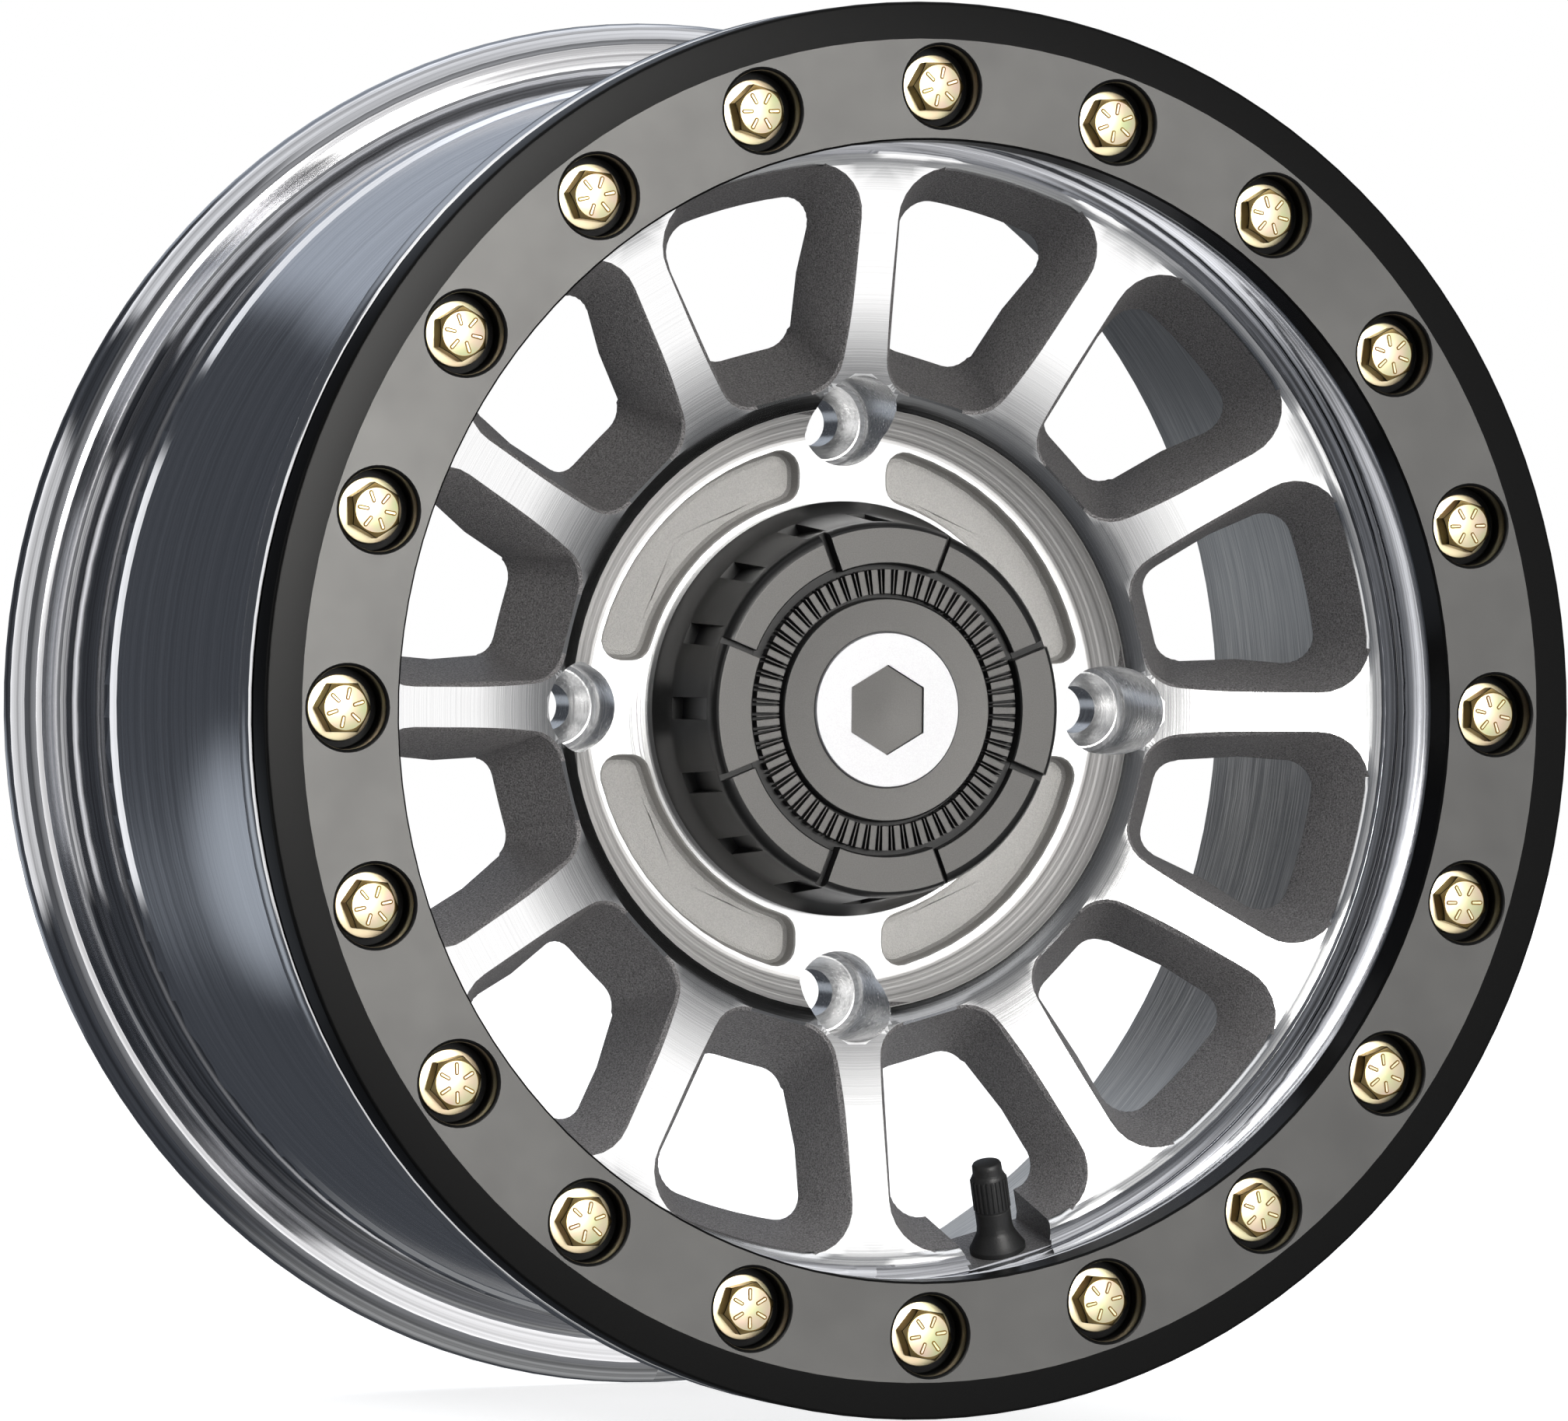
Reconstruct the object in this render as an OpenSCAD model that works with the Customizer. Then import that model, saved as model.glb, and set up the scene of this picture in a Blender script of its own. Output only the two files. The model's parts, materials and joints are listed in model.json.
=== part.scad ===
// Beadlock wheel: cast wheel, clamping ring with its bolts, centre cap and tyre valve.
// Millimetres. The wheel turns about Y, its street side faces -Y, the hub's mounting face is at Y = 0.
// Inside the modules Z is the depth behind the ring's front face, and lathe() lays it along Y.

/* [Wheel] */
// Depth of the hub's mounting face behind the ring's front face
hub_depth = 94.7; // [90:0.1:100]
// Depth of the rear lip, which is also the wheel's whole width
rear_lip_depth = 205.4; // [200:0.1:212]
// Outer radius of the rear lip
rear_lip_r = 193.8; // [191:0.1:197]
// Radius of the front flange and of the ring
flange_r = 188; // [186:0.1:190]
// Depth of the front flange's front face
flange_front = 13.7; // [13:0.1:15]
// Depth of the front flange's rear face
flange_rear = 21.7; // [20.5:0.1:24]
// How far inside the flange's edge the casting stops carrying the ring
land_inset = 11.6; // [10:0.1:13]
// How far inside the front flange's edge the barrel's outer wall starts
barrel_front_inset = 23; // [22:0.1:23.6]
// How far inside the rear lip's edge the barrel's outer wall ends, at its hump
barrel_rear_inset = 17; // [16:0.1:18]
// Radius of the hollow between the front flange and the barrel
flange_fillet = 8.2; // [6:0.1:9]
// Depth at which the outer barrel wall starts behind the flange
barrel_start = 34; // [32:0.5:36]
// Radius of the hollow in the rear lip
rear_round = 8.8; // [8:0.1:9.5]
// Radius of the rear lip's rolled edge
rear_edge = 2.3; // [1.8:0.1:2.6]

/* [Lip and spokes] */
// How far the polished lip stands inside the ring's inner edge
lip_step = 0.1; // [0:0.1:1]
// How much wider the polished lip is at its foot than at the ring
lip_flare = 3.1; // [2.4:0.1:3.6]
// Depth of the lip's foot
lip_foot_depth = 36.7; // [36:0.1:37.4]
// How far the lip's wall is hollowed between its ends
lip_sag = 0.9; // [0:0.1:1.5]
// Number of windows, and of spokes
window_count = 12; // [10:1:12]
// Width of the ledge between the lip's foot and the spoke face
lip_ledge_w = 4.9; // [4.4:0.1:5.4]
// Radius at which the spoke face turns down to the hub
face_inner_r = 81.7; // [81:0.1:82.5]
// Depth of the spoke face at its hub end
face_inner_depth = 56.5; // [56:0.1:57]
// Distance between that ledge and a window's outer edge at its front
window_rim_w = 2.3; // [2:0.1:3.4]
// Depth of the spoke face at that radius
face_outer_depth = 38; // [37.5:0.1:38.5]
// Inner edge radius of a window at its front
window_front_inner = 86; // [85:0.1:88]
// Depth of the spoke face at that radius
face_mid_depth = 53.3; // [52.8:0.1:53.8]
// Radius inside which the spoke face starts to curve down to the hub
face_bend_r = 114; // [108:0.5:120]
// Slope of the straight part of the spoke face
face_slope = 0.222; // [0.2:0.001:0.235]
// Half width of a window's front at its inner edge, before rounding
window_front_half = 15.63; // [15:0.05:16]
// Growth of a front half width with radius
window_front_slope = 0.3; // [0.28:0.005:0.305]
// Outer corner radius of a window's front
window_front_corner = 13.2; // [12:0.1:14]
// Inner corner radius of a window's front
window_front_root = 10; // [8:0.1:10.5]
// How far a window's outer wall leans in from front to back
window_lean_outer = 7.4; // [6.6:0.1:8]
// Depth of the spokes' back at the windows' outer edge
back_outer_depth = 57.2; // [56:0.1:58]
// How far a window's inner wall leans out from front to back
window_lean_inner = 12.6; // [12:0.1:14]
// Depth of the spokes' back at the windows' inner edge
back_inner_depth = 73.2; // [72:0.1:74]
// Radius at which the spokes' back steps down to the hub
spoke_step_r = 104.6; // [103:0.1:107]
// Half width of a window's back at its inner edge, before rounding
window_back_half = 12.2; // [11.8:0.05:12.6]
// Growth of a back half width with radius
window_back_slope = 0.28; // [0.26:0.005:0.29]
// Outer corner radius of a window's back
window_back_corner = 7.5; // [7:0.1:8.5]
// Inner corner radius of a window's back
window_back_root = 6.5; // [6:0.1:7]
// Width of the broken edge around a window's front
window_edge = 0.7; // [0.3:0.1:1]

/* [Hub] */
// Depth of the pad the centre cap stands on
pad_depth = 65.5; // [65:0.1:66]
// Outer radius of the pad
pad_r = 74.3; // [73.8:0.1:74.8]
// Radius of the hole the cap's legs stand in
cap_hole_r = 50; // [49:0.1:51]
// Depth of the hub disc's rear face behind the cap
disc_rear = 80; // [79:0.5:80.5]
// Radius of the recess behind that face, which frees the cap's legs
hub_recess_r = 58; // [57:0.5:60]
// Depth of the hub bore's floor
hub_bore_floor = 85; // [84.6:0.1:86]
// Radius of the hub bore at the mounting face
hub_bore_r = 66; // [65.5:0.1:67]
// Outer radius of the mounting face
hub_face_r = 92; // [91:0.1:93]
// Radius of the circle the lug holes sit on
lug_circle_r = 78; // [78:0.1:78.4]
// Number of lug holes
lug_count = 4; // [4:1:4]
// Radius of a lug hole's counterbore
lug_mouth_r = 12.15; // [11.8:0.05:12.5]
// Depth of the counterbore's floor below the pad
lug_floor = 13.1; // [12:0.1:14]
// Outer radius of the conical nut seat
lug_seat_r = 9.6; // [9.2:0.1:10]
// Radius of a lug hole
lug_hole_r = 6.5; // [6:0.1:7]
// Inner radius of the kidney pockets
kidney_inner = 58.4; // [58:0.1:59]
// Outer radius of the kidney pockets
kidney_outer = 72.1; // [71:0.1:72.4]
// Distance of a kidney's straight end from the line through the lug hole
kidney_end = 13; // [12.8:0.1:16]
// Corner radius of a kidney pocket
kidney_corner = 5.2; // [4.5:0.1:6]
// Depth of a kidney pocket
kidney_depth = 5.6; // [4:0.1:7]
// Radius of the soft edge around a kidney's floor
kidney_soft = 2.4; // [1.5:0.1:3]

/* [Ring and bolts] */
// Radial width of the ring
ring_w = 36.7; // [35.5:0.1:37.5]
// Thickness of the ring where it lies on the casting
ring_thick = 11.1; // [10.9:0.05:11.3]
// Depth of the ring's outer rear face
ring_rear = 10.4; // [10:0.1:10.7]
// Width of the ring's bevelled outer band
ring_bevel_w = 9.9; // [9:0.1:10.2]
// Drop of that band at its outer edge
ring_bevel_drop = 0.5; // [0.2:0.1:1.5]
// Radius of the ring's outer corner
ring_corner = 0.9; // [0.5:0.1:2]
// Number of ring bolts
bolt_count = 20; // [16:1:20]
// Distance of the bolt circle inside the ring's outer edge
bolt_inset = 22.4; // [22:0.1:22.8]
// Radius of a bolt's counterbore
bolt_bore_r = 10.75; // [10:0.05:11]
// Depth of a bolt's counterbore
bolt_bore_depth = 8.2; // [8:0.1:8.4]
// Radius of the soft edge around a counterbore's mouth
bolt_mouth_soft = 0.9; // [0.4:0.1:1.2]
// Hex size of a bolt head across its flats
hex_size = 12.7; // [12:0.1:13.5]
// Height of a bolt head
hex_height = 5.1; // [4.6:0.1:5.3]
// Diameter of the bolt's shank
bolt_d = 7.94; // [7.5:0.02:8.2]
// Length of the bolt below its head
bolt_length = 12.7; // [11.5:0.1:13.5]
// Washer outer diameter
washer_od = 17.4; // [16.5:0.1:18]
// Washer thickness
washer_thick = 1.6; // [1.2:0.1:1.8]
// Outer radius of a thread insert
insert_r = 5.4; // [5.2:0.1:5.6]
// Length of a thread insert
insert_length = 9.4; // [9:0.1:9.6]

/* [Centre cap] */
// Radius of the cap's base
cap_base_r = 56.3; // [54:0.1:56.5]
// Thickness of the cap's base rim
cap_base_thick = 3.6; // [3:0.1:4]
// Radius of the cap's wall at its rear
cap_wall_rear_r = 52.8; // [52.4:0.1:53.2]
// Radius of the cap's wall at its front
cap_wall_front_r = 50.7; // [50.3:0.1:51.7]
// Depth of the cap's face
cap_face_depth = 32.7; // [31:0.1:34]
// Step between the two kinds of face segment
cap_segment_step = 1.7; // [1:0.1:2]
// Angle covered by a raised face segment
cap_high_angle = 40.4; // [38:0.2:42]
// Inner radius of the raised segments
cap_high_inner = 39.2; // [38.9:0.1:39.6]
// Outer radius of the raised segments' flat
cap_high_outer = 48.9; // [48.5:0.1:49.2]
// Inner radius of the low segments
cap_low_inner = 40.5; // [40.1:0.1:40.9]
// Outer radius of the low segments' flat
cap_low_outer = 47.7; // [47.4:0.1:48]
// Width of the groove between two segments
cap_groove_w = 1.9; // [1.4:0.1:2.2]
// Depth of the grooves and channels below the cap's face
cap_groove_depth = 4.2; // [3.5:0.1:4.5]
// Number of teeth around the centre disc
tooth_count = 60; // [48:1:60]
// Inner radius of the teeth
tooth_inner = 31.2; // [31:0.1:31.6]
// Outer radius of the teeth
tooth_outer = 37.8; // [37.4:0.1:38]
// Width of a tooth
tooth_w = 1.85; // [1.6:0.05:2.2]
// Width of the thin ridge between two teeth
ridge_w = 0.35; // [0.3:0.05:0.6]
// Depth of the teeth's tops below the cap's face
tooth_top = 0.9; // [0.5:0.1:1.4]
// Radius of the centre disc
disc_r = 30.1; // [29.5:0.1:30.4]
// Number of gripping notches around the cap
notch_count = 16; // [12:1:16]
// Width of a notch
notch_w = 5.9; // [5:0.1:6.2]
// Depth of a notch at its square rear end
notch_deep = 3; // [2:0.1:3.2]
// Depth position of a notch's rear end
notch_rear = 56.4; // [56:0.1:57]
// Depth position of a notch's rounded front end
notch_front = 34.6; // [34:0.1:36]
// Wall thickness of the cap
cap_wall = 3.2; // [2.6:0.1:3.4]
// Number of snap legs
leg_count = 8; // [6:1:8]
// Angle covered by one snap leg
leg_angle = 22; // [16:1:26]
// Wire diameter of the retaining ring inside the legs
wire_d = 2.4; // [2:0.1:2.8]
// Outer radius of the bright inlay in the cap's face
inlay_r = 21; // [19:0.1:23]
// Size across the flats of the hexagonal opening in the inlay
inlay_hex = 21; // [18:0.5:24]
// Thickness of the inlay
inlay_thick = 1.6; // [1:0.1:2]

/* [Valve] */
// Direction of the valve, clockwise from the top as seen from the street
valve_clock = 165; // [164:0.5:166]
// Height of the valve pocket's floor inside the lip's foot
valve_floor_h = 3; // [2.5:0.1:3.3]
// Distance of the valve's axis behind the lip's foot, at that floor
valve_setback = 8.3; // [7.8:0.1:8.8]
// Forward lean of the valve
valve_lean = 14; // [12:0.5:15]
// Width of the valve's pocket
valve_pocket_w = 27; // [24:0.5:28]
// Radius of the valve hole
valve_hole_r = 5.7; // [5.6:0.05:5.8]
// Thickness of the rim at the valve hole
valve_wall = 5; // [4.5:0.1:5.5]
// Radius of the relief behind the valve hole
valve_relief_r = 11.5; // [10:0.5:12]
// Diameter of the rubber base
valve_base_d = 15.2; // [14.5:0.1:16]
// Diameter of the rubber neck
valve_neck_d = 9.7; // [9.4:0.1:9.9]
// Height of the rubber neck's end above the floor
valve_neck_top = 12; // [11:0.1:13]
// Diameter of the valve cap over its ribs
valve_cap_d = 10.1; // [10:0.1:10.6]
// Height of the valve cap's top above the floor
valve_cap_top = 25.6; // [25.2:0.1:26.4]
// Number of ribs on the valve cap
valve_rib_count = 24; // [16:1:28]
// Radius of the brass stem
stem_r = 3.85; // [3.8:0.05:3.9]
// Radius of the stem's bore
stem_bore_r = 2.65; // [2.6:0.05:2.7]

/* [Hidden] */
round_fn = 180;
small_fn = 48;
// Play left between pieces that only just clear each other
play = 0.05;
// Overshoot of a cutter past the surface it opens
past = 1;
// Small broken edge used where no other size is given
edge = 0.8;
// Number of cone bands that make up the curved part of the spoke face
face_steps = 6;
// Radius of the hollow between the hub and the spokes' back
hub_fillet = 4;
ring_inner_r = flange_r - ring_w;
land_r = flange_r - land_inset;
bolt_circle_r = flange_r - bolt_inset;
lip_front_r = ring_inner_r - lip_step;
lip_foot_r = lip_front_r + lip_flare;
face_outer_r = lip_foot_r - lip_ledge_w;
window_front_outer = face_outer_r - window_rim_w;
window_back_outer = window_front_outer - window_lean_outer;
window_back_inner = window_front_inner + window_lean_inner;
barrel_front_r = flange_r - barrel_front_inset;
barrel_rear_r = rear_lip_r - barrel_rear_inset;
valve_base_r = lip_foot_r - valve_floor_h;
valve_base_depth = lip_foot_depth + valve_setback;
washer_top = bolt_bore_depth - washer_thick;
hex_top = washer_top - hex_height;
bolt_hole_r = bolt_d / 2 + 0.3;
insert_top = ring_thick + 0.3;
cap_low_depth = cap_face_depth + cap_segment_step;
cap_channel_depth = cap_face_depth + cap_groove_depth;
tooth_depth = cap_face_depth + tooth_top;
disc_depth = cap_face_depth + 0.6;
leg_r = cap_hole_r - play;
leg_thick = 2.4;
leg_end = disc_rear + 4;
wire_depth = disc_rear - 1.2;
half_window = 180 / window_count;
face_bend = (face_mid_depth - face_outer_depth - face_slope * (window_front_outer - window_front_inner))
    / pow(face_bend_r - window_front_inner, 2);
back_slope = (back_inner_depth - back_outer_depth) / (window_back_outer - window_back_inner);

function arc(cx, cy, r, a0, a1, n) =
    [for (i = [0:n]) let (a = a0 + (a1 - a0) * i / n) [cx + r * cos(a), cy + r * sin(a)]];
function face_depth(r) = face_outer_depth + face_slope * (window_front_outer - r)
    + face_bend * pow(max(0, face_bend_r - r), 2);
function back_depth(r) = back_outer_depth + back_slope * (window_back_outer - r);
function mix(a, b, t) = a + (b - a) * t;

// Lays depth along Y, with the street side to -Y and the mounting face at Y = 0
module lathe() {
    rotate([-90, 0, 0])
    translate([0, 0, -hub_depth])
    children();
}

// Turns the X direction to a clock angle, seen from the street
module clock(angle) {
    rotate([0, 0, angle - 90])
    children();
}

module around(count, start = 0) {
    for (i = [0:count - 1])
        clock(start + 360 / count * i)
        children();
}

module turned(points, fn = round_fn) {
    rotate_extrude($fn = fn)
    polygon(points);
}

// Skins a stack of equally long rings of points, closed by a tip at each end
module skin(rings, first_tip, last_tip) {
    n = len(rings[0]);
    m = len(rings);
    flat = [for (ring = rings) for (p = ring) p];
    tips = [first_tip, last_tip];
    a = m * n;
    sides = [for (j = [0:m - 2]) for (i = [0:n - 1]) for (k = [0:1])
        let (i2 = (i + 1) % n)
        k == 0 ? [j * n + i, j * n + i2, (j + 1) * n + i2]
               : [j * n + i, (j + 1) * n + i2, (j + 1) * n + i]];
    front = [for (i = [0:n - 1]) [a, (i + 1) % n, i]];
    back = [for (i = [0:n - 1]) [a + 1, (m - 1) * n + i, (m - 1) * n + (i + 1) % n]];
    polyhedron(concat(flat, tips), concat(sides, front, back));
}

// Outline of a window: straight inner edge, sloping sides, outer edge on a circle about the axis.
// Its corners stay within the window's own length.
function window_outline(inner, outer, half, slope, root, corner, grow) =
    let (
        r_in = min(root, (outer - inner) / 3) + grow,
        r_out = min(corner, (outer - inner) / 3) + grow,
        k = sqrt(1 + slope * slope),
        side = 90 + atan(slope),
        base = half - slope * inner + grow * k,
        iu = inner - grow + r_in,
        iv = base + slope * iu - r_in * k,
        c = base - r_out * k,
        reach = outer + grow - r_out,
        qa = 1 + slope * slope,
        qb = 2 * slope * c,
        ou = (-qb + sqrt(qb * qb - 4 * qa * (c * c - reach * reach))) / (2 * qa),
        ov = slope * ou + c,
        top = atan2(ov, ou),
        right = concat(
            arc(iu, iv, r_in, 180, side, 5),
            arc(ou, ov, r_out, side, top, 7),
            [for (i = [1:3]) let (a = top * (1 - i / 3)) [(outer + grow) * cos(a), (outer + grow) * sin(a)]])
    )
    concat(right, [for (i = [len(right) - 2:-1:0]) [right[i][0], -right[i][1]]]);

function front_outline(grow) = window_outline(window_front_inner, window_front_outer,
    window_front_half, window_front_slope, window_front_root, window_front_corner, grow);
function back_outline() = window_outline(window_back_inner, window_back_outer,
    window_back_half, window_back_slope, window_back_root, window_back_corner, 0);

module window_cutter() {
    flare = window_edge + 1.2;
    front = [for (p = front_outline(0)) [p[0], p[1], face_depth(norm(p))]];
    open = [for (p = front_outline(flare)) [p[0], p[1], face_depth(norm(p)) - 1.2]];
    back = [for (p = back_outline()) [p[0], p[1], back_depth(norm(p))]];
    under = window_edge / (back_outer_depth - face_outer_depth);
    n = len(front);
    low = [for (i = [0:n - 1]) mix(front[i], back[i], under)];
    through = [for (i = [0:n - 1]) mix(front[i], back[i], 1.6)];
    middle = (window_front_inner + window_front_outer) / 2;
    skin([open, low, through],
        [middle, 0, face_depth(middle) - 12],
        [middle, 0, back_depth(middle) + 24]);
}

// Outline of a kidney pocket about the X direction, its ends parallel to the lines through the lugs
function kidney_outline(grow) =
    let (
        gap = kidney_end - grow,
        r = kidney_corner + grow,
        hi = kidney_outer + grow,
        lo = kidney_inner - grow,
        split = 180 / lug_count,
        outer_a = split - asin((gap + r) / (hi - r)),
        inner_a = split - asin((gap + r) / (lo + r)),
        right = concat(
            [for (i = [0:4]) let (a = outer_a * i / 5) [hi * cos(a), hi * sin(a)]],
            arc((hi - r) * cos(outer_a), (hi - r) * sin(outer_a), r, outer_a, split + 90, 5),
            arc((lo + r) * cos(inner_a), (lo + r) * sin(inner_a), r, split + 90, inner_a + 180, 5),
            [for (i = [1:4]) let (a = inner_a * (1 - i / 5)) [lo * cos(a), lo * sin(a)]])
    )
    concat(right, [[lo, 0]], [for (i = [len(right) - 1:-1:1]) [right[i][0], -right[i][1]]]);

module kidney_cutter() {
    floor_depth = pad_depth + kidney_depth;
    steps = concat(
        [[past + edge / 2, pad_depth - past], [0, pad_depth + edge / 2]],
        [for (a = [0:30:90]) [kidney_soft * (cos(a) - 1), floor_depth - kidney_soft * (1 - sin(a))]]);
    middle = (kidney_inner + kidney_outer) / 2;
    mirror([0, 0, 1])
    skin([for (s = steps) [for (p = kidney_outline(s[0])) [p[0], p[1], -s[1]]]],
        [middle, 0, -(pad_depth - past)],
        [middle, 0, -floor_depth]);
}

lip_wall = [for (i = [0:8])
    let (t = i / 8)
    [mix(lip_front_r, lip_foot_r, t) + 4 * lip_sag * t * (1 - t),
        mix(ring_thick + 0.4, lip_foot_depth - 0.4, t)]];

casting_front = concat(
    arc(flange_r - edge, flange_front + edge, edge, 0, -90, 3),
    [[land_r + 1.2, flange_front],
     [land_r + 0.2, flange_front - 0.8],
     [land_r, ring_thick + 0.3],
     [land_r - 0.3, ring_thick],
     [lip_front_r + 0.4, ring_thick]],
    lip_wall,
    [[lip_foot_r - 0.3, lip_foot_depth],
     [lip_foot_r - 0.5, lip_foot_depth + 0.7],
     [lip_foot_r - 1.9, lip_foot_depth + 0.7],
     [lip_foot_r - 2.1, lip_foot_depth],
     [lip_foot_r - 3.6, lip_foot_depth],
     [lip_foot_r - 3.7, lip_foot_depth + 0.3],
     [face_outer_r, lip_foot_depth + 0.2],
     [window_front_outer + 0.4, face_outer_depth - 0.3],
     [window_front_outer - 0.4, face_depth(window_front_outer - 0.4)]],
    [for (i = [0:face_steps])
        let (r = mix(face_bend_r, window_front_inner, i / face_steps))
        [r, face_depth(r)]],
    [[mix(window_front_inner, face_inner_r, 0.5), mix(face_mid_depth, face_inner_depth, 0.42)],
     [face_inner_r, face_inner_depth],
     [face_inner_r - 0.2, face_inner_depth + 0.6],
     [pad_r + 2.8, pad_depth - 3.3],
     [pad_r + 1.9, pad_depth - 2.5],
     [pad_r + 0.9, pad_depth - 0.9],
     [pad_r, pad_depth - 0.2],
     [pad_r - 0.8, pad_depth],
     [cap_hole_r + 0.5, pad_depth],
     [cap_hole_r, pad_depth + 0.5]]);

casting_rear = concat(
    [[cap_hole_r, disc_rear],
     [hub_recess_r, disc_rear],
     [hub_recess_r, hub_bore_floor],
     [hub_bore_r, hub_bore_floor],
     [hub_bore_r, hub_depth - 1],
     [hub_bore_r + 1, hub_depth],
     [hub_face_r - 1, hub_depth],
     [hub_face_r, hub_depth - 1]],
    [for (a = [0:22.5:67.5])
        [hub_face_r + hub_fillet * (1 - cos(a)), back_depth(hub_face_r) + hub_fillet * (1 - sin(a)) + 0.2]],
    [[spoke_step_r - 0.7, back_depth(spoke_step_r - 0.7) + 0.9],
     [spoke_step_r, back_depth(spoke_step_r)],
     [window_back_outer, back_outer_depth]]);

// The barrel's wall behind the spokes, by share of the way to the rear lip
function barrel_depth(t) = mix(back_outer_depth, rear_lip_depth, t);
function barrel_r(t) =
    mix(barrel_front_r, barrel_rear_r, lookup(t, [[0, 0], [0.4, 0.34], [0.7, 0.85], [1, 1]]));

barrel_inside = concat(
    [[window_back_outer + 6.3, back_outer_depth + 1.4],
     [barrel_front_r - 13, back_outer_depth + 6],
     [barrel_front_r - 9, back_outer_depth + 13]],
    [for (w = [[0.155, 7.9], [0.255, 6], [0.4, 4.4], [0.56, 4.2], [0.72, 4.4]])
        [barrel_r(w[0]) - w[1], barrel_depth(w[0])]],
    [[barrel_rear_r - 4.6, rear_lip_depth - 25.4],
     [barrel_rear_r - 3, rear_lip_depth - 13],
     [barrel_rear_r - 1.6, rear_lip_depth - 7],
     [barrel_rear_r + 0.4, rear_lip_depth - 2.4],
     [barrel_rear_r + 1.1, rear_lip_depth - 0.8],
     [barrel_rear_r + 2.2, rear_lip_depth]]);

rear_flange = concat(
    arc(rear_lip_r - rear_edge, rear_lip_depth - rear_edge, rear_edge, 90, 0, 4),
    arc(rear_lip_r - rear_round, rear_lip_depth - rear_edge - 0.6, rear_round, 0, -84, 8),
    [[rear_lip_r - 12.2, rear_lip_depth - rear_round - rear_edge - 0.8]],
    arc(rear_lip_r - 11.8, rear_lip_depth - rear_round - 5.4, 2.3, 100, 190, 4));

barrel_outside = concat(
    [[barrel_rear_r - 1.1, rear_lip_depth - 28.4],
     [barrel_rear_r - 0.6, rear_lip_depth - 31.5],
     [barrel_rear_r + 0.1, rear_lip_depth - 35],
     [barrel_rear_r, rear_lip_depth - 39],
     [barrel_rear_r - 0.6, rear_lip_depth - 42],
     [barrel_r(0.7), barrel_depth(0.7)],
     [barrel_r(0.4), barrel_depth(0.4)],
     [barrel_r(0.02), barrel_depth(0.02)],
     [barrel_front_r - 1, barrel_start + 4]],
    [for (a = [0:18:90])
        [barrel_front_r + 7 - flange_fillet * cos(a), flange_rear + flange_fillet * (1 - sin(a))]],
    arc(flange_r - edge, flange_rear - edge, edge, 90, 0, 3));

module lug_cutter() {
    floor_depth = pad_depth + lug_floor;
    translate([lug_circle_r, 0, 0])
    turned([[0, lip_foot_depth],
        [lug_mouth_r, lip_foot_depth],
        [lug_mouth_r, floor_depth - 1.6],
        [lug_mouth_r - 0.5, floor_depth - 0.5],
        [lug_mouth_r - 1.6, floor_depth],
        [lug_seat_r + 0.5, floor_depth],
        [lug_seat_r, floor_depth + 0.9],
        [lug_hole_r, floor_depth + 0.9 + (lug_seat_r - lug_hole_r) * 1.73],
        [lug_hole_r, hub_depth + past],
        [0, hub_depth + past]], small_fn * 2);
}

// Stands on the valve's floor with +Z along the valve, out of the tyre
module on_valve() {
    clock(valve_clock)
    translate([valve_base_r, 0, valve_base_depth])
    rotate([0, -90 - valve_lean, 0])
    children();
}

module valve_pocket() {
    front = (valve_base_depth - lip_foot_depth) / cos(valve_lean);
    half = valve_pocket_w / 2;
    soft = 3;
    height = 16;
    translate([-front + soft, -half, 0])
    cube([front + 30, valve_pocket_w, height]);
    translate([-front, -half + soft, 0])
    cube([front + 30, valve_pocket_w - 2 * soft, height]);
    for (s = [-1, 1])
        translate([-front + soft, s * (half - soft), 0])
        cylinder(h = height, r = soft, $fn = small_fn);
}

module valve_drilling() {
    translate([0, 0, -valve_wall - past])
    cylinder(h = valve_wall + 2 * past, r = valve_hole_r, $fn = small_fn);
    translate([0, 0, -valve_wall - 2 * valve_relief_r])
    cylinder(h = 2 * valve_relief_r, r = valve_relief_r, $fn = small_fn);
}

module wheel_casting() {
    color("silver")
    lathe()
    difference() {
        turned(concat(casting_front, casting_rear, barrel_inside, rear_flange, barrel_outside));
        around(window_count, half_window)
        window_cutter();
        around(lug_count)
        lug_cutter();
        around(lug_count, 180 / lug_count)
        kidney_cutter();
        around(bolt_count)
        translate([bolt_circle_r, 0, ring_thick - past])
        cylinder(h = insert_length + 0.4 + past, r = insert_r + play, $fn = small_fn);
        on_valve()
        valve_pocket();
        on_valve()
        valve_drilling();
    }
}

ring_profile = concat(
    [[ring_inner_r + 0.6, 0],
     [flange_r - ring_bevel_w, 0]],
    arc(flange_r - ring_corner, ring_bevel_drop + ring_corner, ring_corner, -90, 0, 5),
    [[flange_r, ring_rear - 0.6],
     [flange_r - 0.6, ring_rear],
     [land_r + 1, ring_rear],
     [land_r - 0.2, ring_thick],
     [ring_inner_r + 0.4, ring_thick],
     [ring_inner_r, ring_thick - 0.4],
     [ring_inner_r, 0.6]]);

module bolt_seat_cutter() {
    s = bolt_mouth_soft;
    translate([bolt_circle_r, 0, 0])
    turned(concat(
        [[0, -past], [bolt_bore_r + s, -past]],
        arc(bolt_bore_r + s, s, s, -90, -180, 3),
        [[bolt_bore_r, bolt_bore_depth - 0.3],
         [bolt_bore_r - 0.3, bolt_bore_depth],
         [bolt_hole_r, bolt_bore_depth],
         [bolt_hole_r, ring_thick + past],
         [0, ring_thick + past]]), small_fn);
}

module beadlock_ring() {
    color("gray")
    lathe()
    difference() {
        turned(ring_profile);
        around(bolt_count)
        bolt_seat_cutter();
    }
}

// Chance turns of the bolt heads, as a fitter leaves them
function head_turn(i) = (i * i * 17 + i * 23) % 60;

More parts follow.
